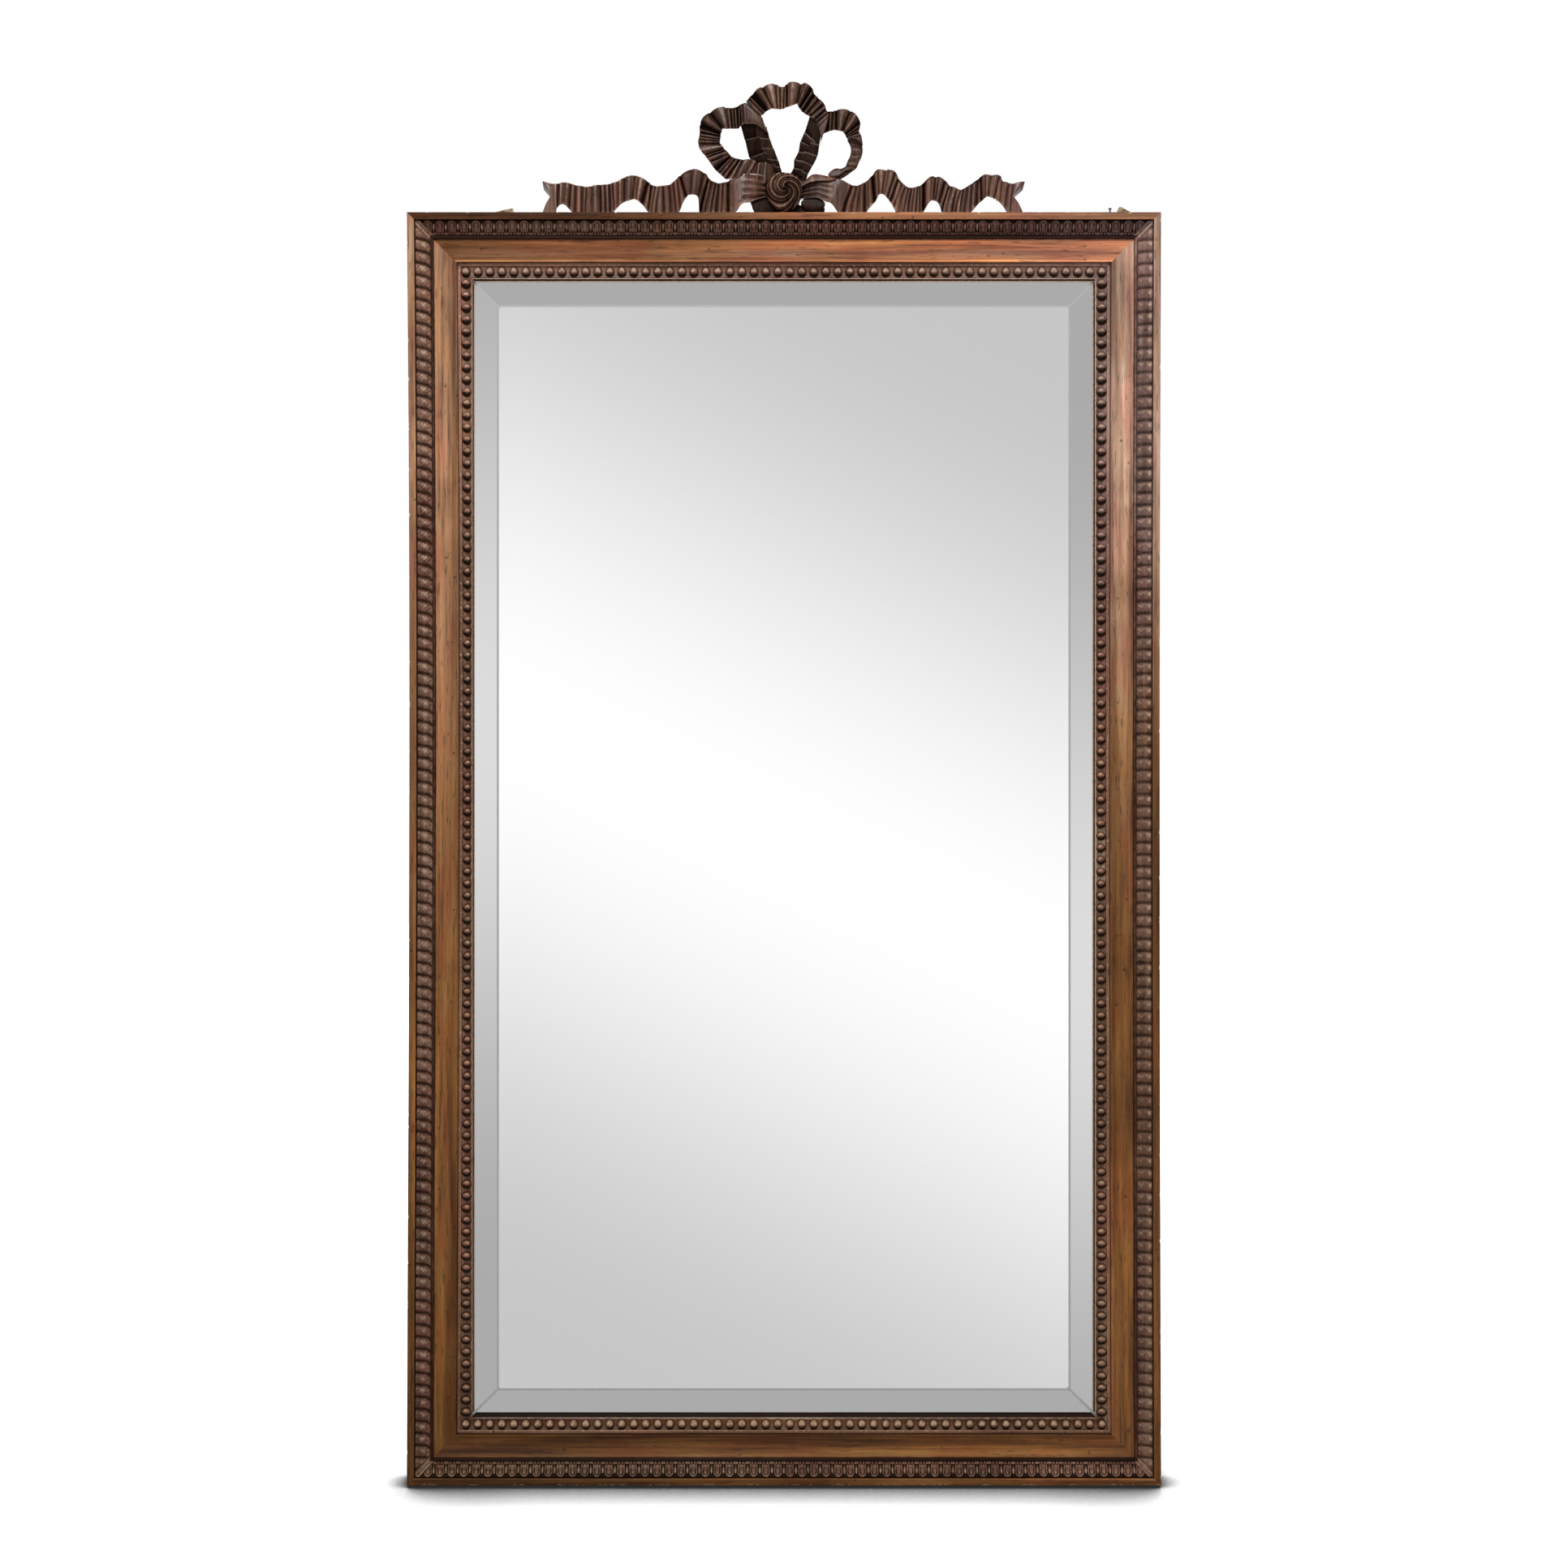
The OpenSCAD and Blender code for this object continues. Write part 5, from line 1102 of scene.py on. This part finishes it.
def dressed(name, node_name, material, ease, body="frame", tone=1.0, board=0.0, proud=0.0,
            longer=None):
    """A CAD node's own shape with its flat faces joined up and its arrises eased by so many mm.
    proud is how far it stands out behind the wood that it is let into. longer is how far, across
    and up, its upper end is drawn out."""
    work = bmesh.new()
    work.from_mesh(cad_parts[node_name].data)
    bmesh.ops.remove_doubles(work, verts=work.verts, dist=2e-6)
    bmesh.ops.dissolve_limit(work, angle_limit=math.radians(2), verts=work.verts, edges=work.edges)
    crisp = [edge for edge in work.edges if edge.calc_face_angle(0.0) > math.radians(32)]
    bmesh.ops.bevel(work, geom=crisp, offset=ease * MM, segments=2, profile=0.6, affect="EDGES",
                    clamp_overlap=True)
    work.verts.index_update()
    points = np.array([vert.co for vert in work.verts]) + [0, proud * MM, 0]
    if longer:
        upper = points[:, 2] > points[:, 2].min() + LOWER_END * MM
        points = points + upper[:, None] * np.array([longer[0], 0, longer[1]]) * MM
    faces = [[vert.index for vert in face.verts] for face in work.faces]
    work.free()
    piece(name, points, faces, material, body, relief=0.45, tone=tone, board=board, sharp=35,
          replaces=(node_name,))


# its walnut is far darker than the crest's: painted shade for where it shows through the crest's gaps
dressed("crest_back_block", "crest_block",
        walnut("crest_back_walnut", 2, ((30, 19, 15), (40, 27, 21), (52, 36, 29), (64, 46, 37), (80, 60, 48)),
               CREST_WAX, gloss=(0.5, 0.7), shine=0.1, fine=1.3), 1.0)

# ---- softwood fixings ----
# Old deal that is out of sight from the front: the batten and dowels that hold the crest, the
# keys across the mitres, and the blocks round the plate. All are sawn, eased and glued in.
SPRING_WOOD, YEAR_WOOD, SUMMER_WOOD = (168, 130, 88), (156, 116, 76), (126, 88, 54)
KNOT_BROWN, OLD_DIRT, DUST = (70, 44, 28), (70, 52, 38), (142, 124, 102)
RING_W, SAW_WAVES = 0.0052, 2600.0      # a growth ring's width in metres, and the saw's lines


def pine(name, grain):
    """Old deal. Its growth rings are a sawtooth across the grain, one every RING_W: pale spring
    wood that darkens to a hard line. Noise drawn out along the grain bends them into flames, and
    they swerve round dark oval knots. Each board is cut from another place of this wood. Dirt,
    damp and dust lie over it, and faint saw lines cross it."""
    tree, whole, surfaced = new_material(name)
    moved = node(tree, "ShaderNodeVectorMath", {0: (0.73, 0.31, 0.57), 3: painted(tree, "board")},
                 operation="SCALE")
    place = node(tree, "ShaderNodeVectorMath", {0: whole, 1: moved.outputs[0]}, operation="ADD").outputs[0]

    def along_grain(across, along, *settings):
        return noise(tree, drawn_out(tree, place, grain, across, along), 1.0, *settings)

    along, sideways = axis_of(tree, place, grain), axis_of(tree, place, 2 - grain)
    across = plus(tree, sideways, times(tree, axis_of(tree, place, 1), 1.7))
    to_knot = cells(tree, drawn_out(tree, place, grain, 6.5, 3.2))
    flames = times(tree, along_grain(9, 1.1, 2.0, 0.5), 13.0)
    phase = plus(tree, times(tree, across, 1 / RING_W), flames)
    season = maths(tree, "FRACT", plus(tree, phase, faded(tree, to_knot, 0.0, 0.34, 1.6, 0.0)))
    colour = ramp(tree, season, (0.0, SPRING_WOOD), (0.5, YEAR_WOOD), (0.84, SUMMER_WOOD),
                  (0.93, SUMMER_WOOD), (1.0, SPRING_WOOD))
    fibre = along_grain(420, 14, 3.0, 0.6)
    colour = mixed(tree, faded(tree, fibre, 0.45, 0.7, 0.0, 0.35), colour, paint(*SUMMER_WOOD))
    knotty = times(tree, faded(tree, to_knot, 0.035, 0.085, 1.0, 0.0), 0.9)
    colour = mixed(tree, knotty, colour, paint(*KNOT_BROWN))
    damp = noise(tree, whole, 2.2, 3.0, 0.5)
    grime = faded(tree, along_grain(40, 5, 5.0, 0.7), 0.44, 0.70, 0.0, 0.45)
    colour = mixed(tree, plus(tree, faded(tree, damp, 0.4, 0.7, 0.0, 0.25), grime), colour, paint(*OLD_DIRT))
    dusty = faded(tree, along_grain(70, 22, 5.0, 0.75), 0.42, 0.66, 0.0, 0.45)
    colour = tinted(tree, mixed(tree, dusty, colour, paint(*DUST)), grey(tree, painted(tree, "tone")))
    wander = times(tree, noise(tree, place, 30.0, 2.0), 14.0)
    saw = maths(tree, "SINE", plus(tree, times(tree, along, SAW_WAVES), wander))
    height = plus(tree, times(tree, season, 0.30), times(tree, saw, 0.07))
    height = plus(tree, height, times(tree, fibre, 0.5))
    return surfaced(Base_Color=colour, Roughness=faded(tree, damp, 0.3, 0.7, 0.62, 0.85),
                    Specular_IOR_Level=0.25, Normal=bumped(tree, height, 0.4, 0.0005))


pine_up, pine_across = pine("pine_upright", 2), pine("pine_across", 0)
PROUD = 0.3                     # how far the batten stands out behind, in mm
dressed("batten", "crest_batten", pine_up, 0.8, tone=0.92, board=1, proud=PROUD)
dressed("foot_dowels", "crest_dowels", pine_up, 0.3)
dressed("glue_blocks", "plate_blocks", pine_up, 0.6)
dressed("corner_keys", "mitre_keys", pine_across, 0.5, tone=0.8, board=2, proud=0.1)

# ---- panelled back ----
# Old deal: two stiles and four rails with eased arrises, grooved for three panels of three
# boards each, and screwed to the frame's ledge.
for part, material, tone, board in (
        ("left_stile", pine_up, 0.84, 3.1), ("right_stile", pine_up, 0.92, 4.1),
        ("bottom_rail", pine_across, 0.78, 6.3), ("lower_rail", pine_across, 0.9, 7.3),
        ("upper_rail", pine_across, 0.84, 8.3), ("top_rail", pine_across, 0.94, 9.3)):
    dressed(f"board_back_{part}", f"back_{part}", material, 1.2, tone=tone, board=board)

PANEL_BACK, PANEL_EDGE_T, PANEL_T, PANEL_BEVEL_IN = 42.5, 4.0, 8.0, 30.0
BOARDS, PLANE_W = 3, 19.0


def grid_faces(index):
    """Quads between the neighbours of a grid of points."""
    return np.stack([index[:-1, :-1], index[:-1, 1:], index[1:, 1:], index[1:, :-1]], -1).reshape(-1, 4)


def back_panel(name, node_name, seed):
    """A panel of three boards with their grain across. Its back is planed by hand, in shallow
    hollows PLANE_W apart, with a small V along each glued joint. Its front has a raised field,
    and its thin edges stand in the grooves round it."""
    low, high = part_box(node_name)
    wide, tall = (high.x - low.x) / MM, (high.z - low.z) / MM
    joints = np.arange(1, BOARDS) * tall / BOARDS + 3.0 * uneven(np.arange(1, BOARDS), seed, 2.0)
    near = np.array([-1.0, -0.4, 0.0, 0.4, 1.0])
    edge = np.array([0, 1, PANEL_BEVEL_IN - 1, PANEL_BEVEL_IN, PANEL_BEVEL_IN + 1.5])
    z = np.unique(np.concatenate([np.linspace(0, tall, 110), *(near + j for j in joints), edge, tall - edge]))
    x = np.unique(np.concatenate([np.linspace(0, wide, 30), edge, wide - edge]))
    zz, xx = np.meshgrid(z, x, indexing="ij")
    to_edge = np.minimum.reduce([xx, wide - xx, zz, tall - zz])
    board = (zz[..., None] > joints).sum(-1)
    vee = np.exp(-((zz[..., None] - joints) / 0.55) ** 2).sum(-1)
    planed = np.sin(np.pi * zz / PLANE_W + 1.5 * uneven(xx, seed + 1, 0.006) + 2.0 * board)
    inner = smooth(to_edge, 9, 14)
    warped = 0.1 * (1 + uneven(xx + 400 * board, seed + 2, 0.01))
    back = PANEL_BACK - 0.9 * vee - inner * (0.16 * np.abs(planed) + warped)
    raised = (PANEL_T - PANEL_EDGE_T) * np.clip((to_edge - PANEL_BEVEL_IN) / 1.5, 0, 1)
    front = PANEL_BACK - PANEL_EDGE_T - raised
    sheets = [np.stack([low.x + xx * MM, (depth - FRAME_D) * MM, low.z + zz * MM], -1).reshape(-1, 3)
              for depth in (back, front)]
    index = np.arange(zz.size).reshape(zz.shape)
    quads = grid_faces(index)
    rim = np.concatenate([index[0], index[1:, -1], index[-1, -2::-1], index[-2:0:-1, 0]])
    walls = np.stack([rim, np.roll(rim, -1), np.roll(rim, -1) + index.size, rim + index.size], -1)
    faces = np.concatenate([quads, quads[:, ::-1] + index.size, walls]).tolist()
    tone = 1.06 + 0.16 * uneven(board + 7.3 * seed, seed + 3, 2.7) - 0.5 * vee
    # darker towards its edges: painted shade in the recess round the panel, and dirt in its corners
    tone = tone * (0.62 + 0.38 * smooth(to_edge + 3 * uneven(xx + zz, seed + 4, 0.05), 7, 24))
    board = 20.0 + seed + 1.7 * board
    piece(name, np.concatenate(sheets), faces, pine_across, relief=0.45, tone=np.stack([tone, tone]),
          board=np.stack([board, board]), sharp=25, replaces=(node_name,))


for seed, part in enumerate(("bottom", "middle", "top")):
    back_panel(f"boards_back_panel_{part}", f"back_panel_{part}", 401 + 10 * seed)

# ---- screws, nail and hanging plates ----
# Tarnished brass screws through the back, rusty steel ones in the crest's batten, two swivelling
# brass hanging plates on round-headed screws, and an old round-headed nail.
SLOT_HALF, SLOT_DEEP = 0.12, 1.0         # a screw's slot: half its width as a share of the head, and mm
ACROSS_HEAD = np.array([-1, -0.86, -0.62, -0.36, -0.18, -SLOT_HALF, -SLOT_HALF + 0.01, 0.0])


def old_metal(name, shade, stain, roughness, stained=0.5):
    """Worn metal, darkened in patches by tarnish or rust. Fine scratches run two ways, and small
    pits are darker still."""
    tree, place, surfaced = new_material(name)
    blots = faded(tree, noise(tree, place, 190.0, 5.0, 0.65), 0.46, 0.62, 0.0, stained)
    film = faded(tree, noise(tree, place, 45.0, 3.0), 0.4, 0.65, 0.0, 0.35)
    pits = faded(tree, cells(tree, place, 700.0), 0.10, 0.26, 0.8, 0.0)
    mask = maths(tree, "MAXIMUM", plus(tree, blots, film), pits, clamp=True)
    ways = [noise(tree, drawn_out(tree, place, axis, 2200, 90), 1.0, 2.0) for axis in (0, 2)]
    scratch = faded(tree, maths(tree, "MAXIMUM", *ways), 0.60, 0.70)
    colour = mixed(tree, mask, paint(*shade), paint(*stain))
    colour = mixed(tree, times(tree, scratch, 0.35), colour, paint(*(min(255, c + 40) for c in shade)))
    height = plus(tree, times(tree, mask, -0.5), times(tree, scratch, -0.3))
    return surfaced(Base_Color=colour, Metallic=faded(tree, mask, 0.0, 1.0, 1.0, 0.45),
                    Roughness=plus(tree, times(tree, mask, 0.25), roughness),
                    Normal=bumped(tree, height, 0.35, 0.0002))


def screws(name, node_name, places, face, size, domed, material, seed):
    """Slotted screws driven towards the front, each with its slot turned its own way. The head is
    a disc of rows across the slot, z = R v and x = R u sqrt(1 - v^2). size is the head's radius,
    its thickness, the shank's radius and the length. domed is the height of a round head."""
    head, thick, shank, length = size
    v = np.concatenate([ACROSS_HEAD, -ACROSS_HEAD[-2::-1]])[:, None]
    x = head * np.linspace(-1, 1, 9) * np.sqrt(1 - v ** 2)
    z = head * np.broadcast_to(v, x.shape)
    out = domed * (1 - (x ** 2 + z ** 2) / head ** 2) - SLOT_DEEP * (np.abs(v) < SLOT_HALF - 0.005)
    top = np.stack([x, out, z], -1)
    index = np.arange(x.size).reshape(x.shape)
    rim = np.concatenate([index[:, -1], index[-2:0:-1, 0]])
    ring = top.reshape(-1, 3)[rim] * [1, 0, 1]
    under, neck = (-0.2, -0.25) if domed else (-0.05, -thick)
    thin = shank / head
    levels = [(1.0, under), (thin, neck), (thin, -0.9 * length), (0.3 * thin, -length)]
    lower = [ring * [share, 1, share] + [0, level, 0] for share, level in levels]
    rings = [rim] + [index.size + k * len(rim) + np.arange(len(rim)) for k in range(len(levels))]
    quads = grid_faces(index)
    sides = [np.stack([a, np.roll(a, -1), np.roll(b, -1), b], -1) for a, b in zip(rings, rings[1:])]
    one = np.concatenate([top.reshape(-1, 3), *lower])
    faces_of = [*np.concatenate([quads, *sides]).tolist(), rings[-1].tolist()]
    turns = np.random.default_rng(seed).uniform(0, np.pi, len(places))
    points, faces = [], []
    for k, (place, turn) in enumerate(zip(places, turns)):
        c, sn = math.cos(turn), math.sin(turn)
        turned = one @ np.array([[c, 0, sn], [0, 1, 0], [-sn, 0, c]])
        points.append((turned + [place[0], face, place[1]]) * MM)
        faces.extend([[k * len(one) + corner_at for corner_at in f] for f in faces_of])
    piece(name, np.concatenate(points), faces, material, sharp=35, replaces=(node_name,))


old_brass = old_metal("tarnished_brass", (122, 102, 66), (74, 58, 38), 0.42)
plate_brass = old_metal("hanger_brass", (106, 95, 72), (62, 48, 30), 0.42, 0.6)
rusty = old_metal("rusty_steel", (112, 108, 104), (72, 48, 34), 0.5, 0.7)

BACK_SCREW, BATTEN_SCREW = (4.0, 2.4, 2.0, 19.5), (4.0, 2.4, 2.0, 22.0)
BATTEN_SPACING = (-28, -12, 12, 28)     # the batten's screws, from the frame's top edge
SCREW_IN, SCREW_UP = LEDGE_IN + 8.5, LEDGE_IN + 26.5     # of the back's screws, from the frame's edges
rise, aside = TOP_Z / MM, FRAME_W / MM / 2 - SCREW_IN
up_places = np.linspace(SCREW_UP, rise - SCREW_UP, 5)
screws("back_wood_screws", "back_screws",
       [(s * aside, z) for s in (-1, 1) for z in up_places] +
       [(x * aside / 2, z) for z in (SCREW_IN, rise - SCREW_IN) for x in (-1, 0, 1)],
       -0.5, BACK_SCREW, 0.0, old_brass, 501)
batten_low, batten_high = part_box("crest_batten")
batten_x = (batten_low.x + batten_high.x) / 2 / MM
screws("batten_wood_screws", "crest_screws", [(batten_x, rise + way) for way in BATTEN_SPACING], PROUD,
       BATTEN_SCREW, 0.0, rusty, 502)
pivot_low, pivot_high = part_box("hanger_screws")
PIVOT_HEAD, PIVOTS_DOWN = 5.0, (32.5, 29.5)     # each pivot lies so far below the frame's top edge
pivots = [(pivot_low.x / MM + PIVOT_HEAD, rise - PIVOTS_DOWN[0]),
          (pivot_high.x / MM - PIVOT_HEAD, rise - PIVOTS_DOWN[1])]
screws("pivot_screws", "hanger_screws", pivots, 2.6, (PIVOT_HEAD, 2.2, 2.3, 24.6), 2.2, old_brass, 503)
for hand, longer in (("left", (-1.5, 7.0)), ("right", (3.7, 7.0))):
    dressed(f"{hand}_hanging_plate", f"{hand}_hanger", plate_brass, 0.35, body=f"{hand}_hanger",
            longer=longer)

NAIL_HIGHER, NAIL_SPOKES = 6.3, 28      # it stands higher than the source's, because the camera stands low


def nail(name, node_name):
    """The nail: a profile turned round an upright line, with a low domed head that the hammer has
    left a little uneven."""
    low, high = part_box(node_name)
    top, foot = high.z / MM + NAIL_HIGHER, low.z / MM
    profile = np.array([[0.0, top], [0.9, top - 0.12], [1.6, top - 0.45], [2.1, top - 0.95], [2.3, top - 1.5],
                        [2.25, top - 1.75], [1.2, top - 1.8], [1.1, top - 2.3], [1.1, foot + 4], [0.0, foot]])
    turn = np.linspace(0, 2 * np.pi, NAIL_SPOKES, endpoint=False)[None, :]
    radius = profile[:, :1] * (1 - 0.035 * np.sin(5 * turn + 1) * (profile[:, :1] > 1.15))
    x, y = (low.x + high.x) / 2 / MM, (low.y + high.y) / 2 / MM
    up = np.broadcast_to(profile[:, 1:], radius.shape)
    points = np.stack([x + radius * np.cos(turn), y + radius * np.sin(turn), up], -1) * MM
    piece(name, points, tube_faces(len(profile), NAIL_SPOKES), rusty, sharp=50, replaces=(node_name,))


nail("round_nail", "top_nail")
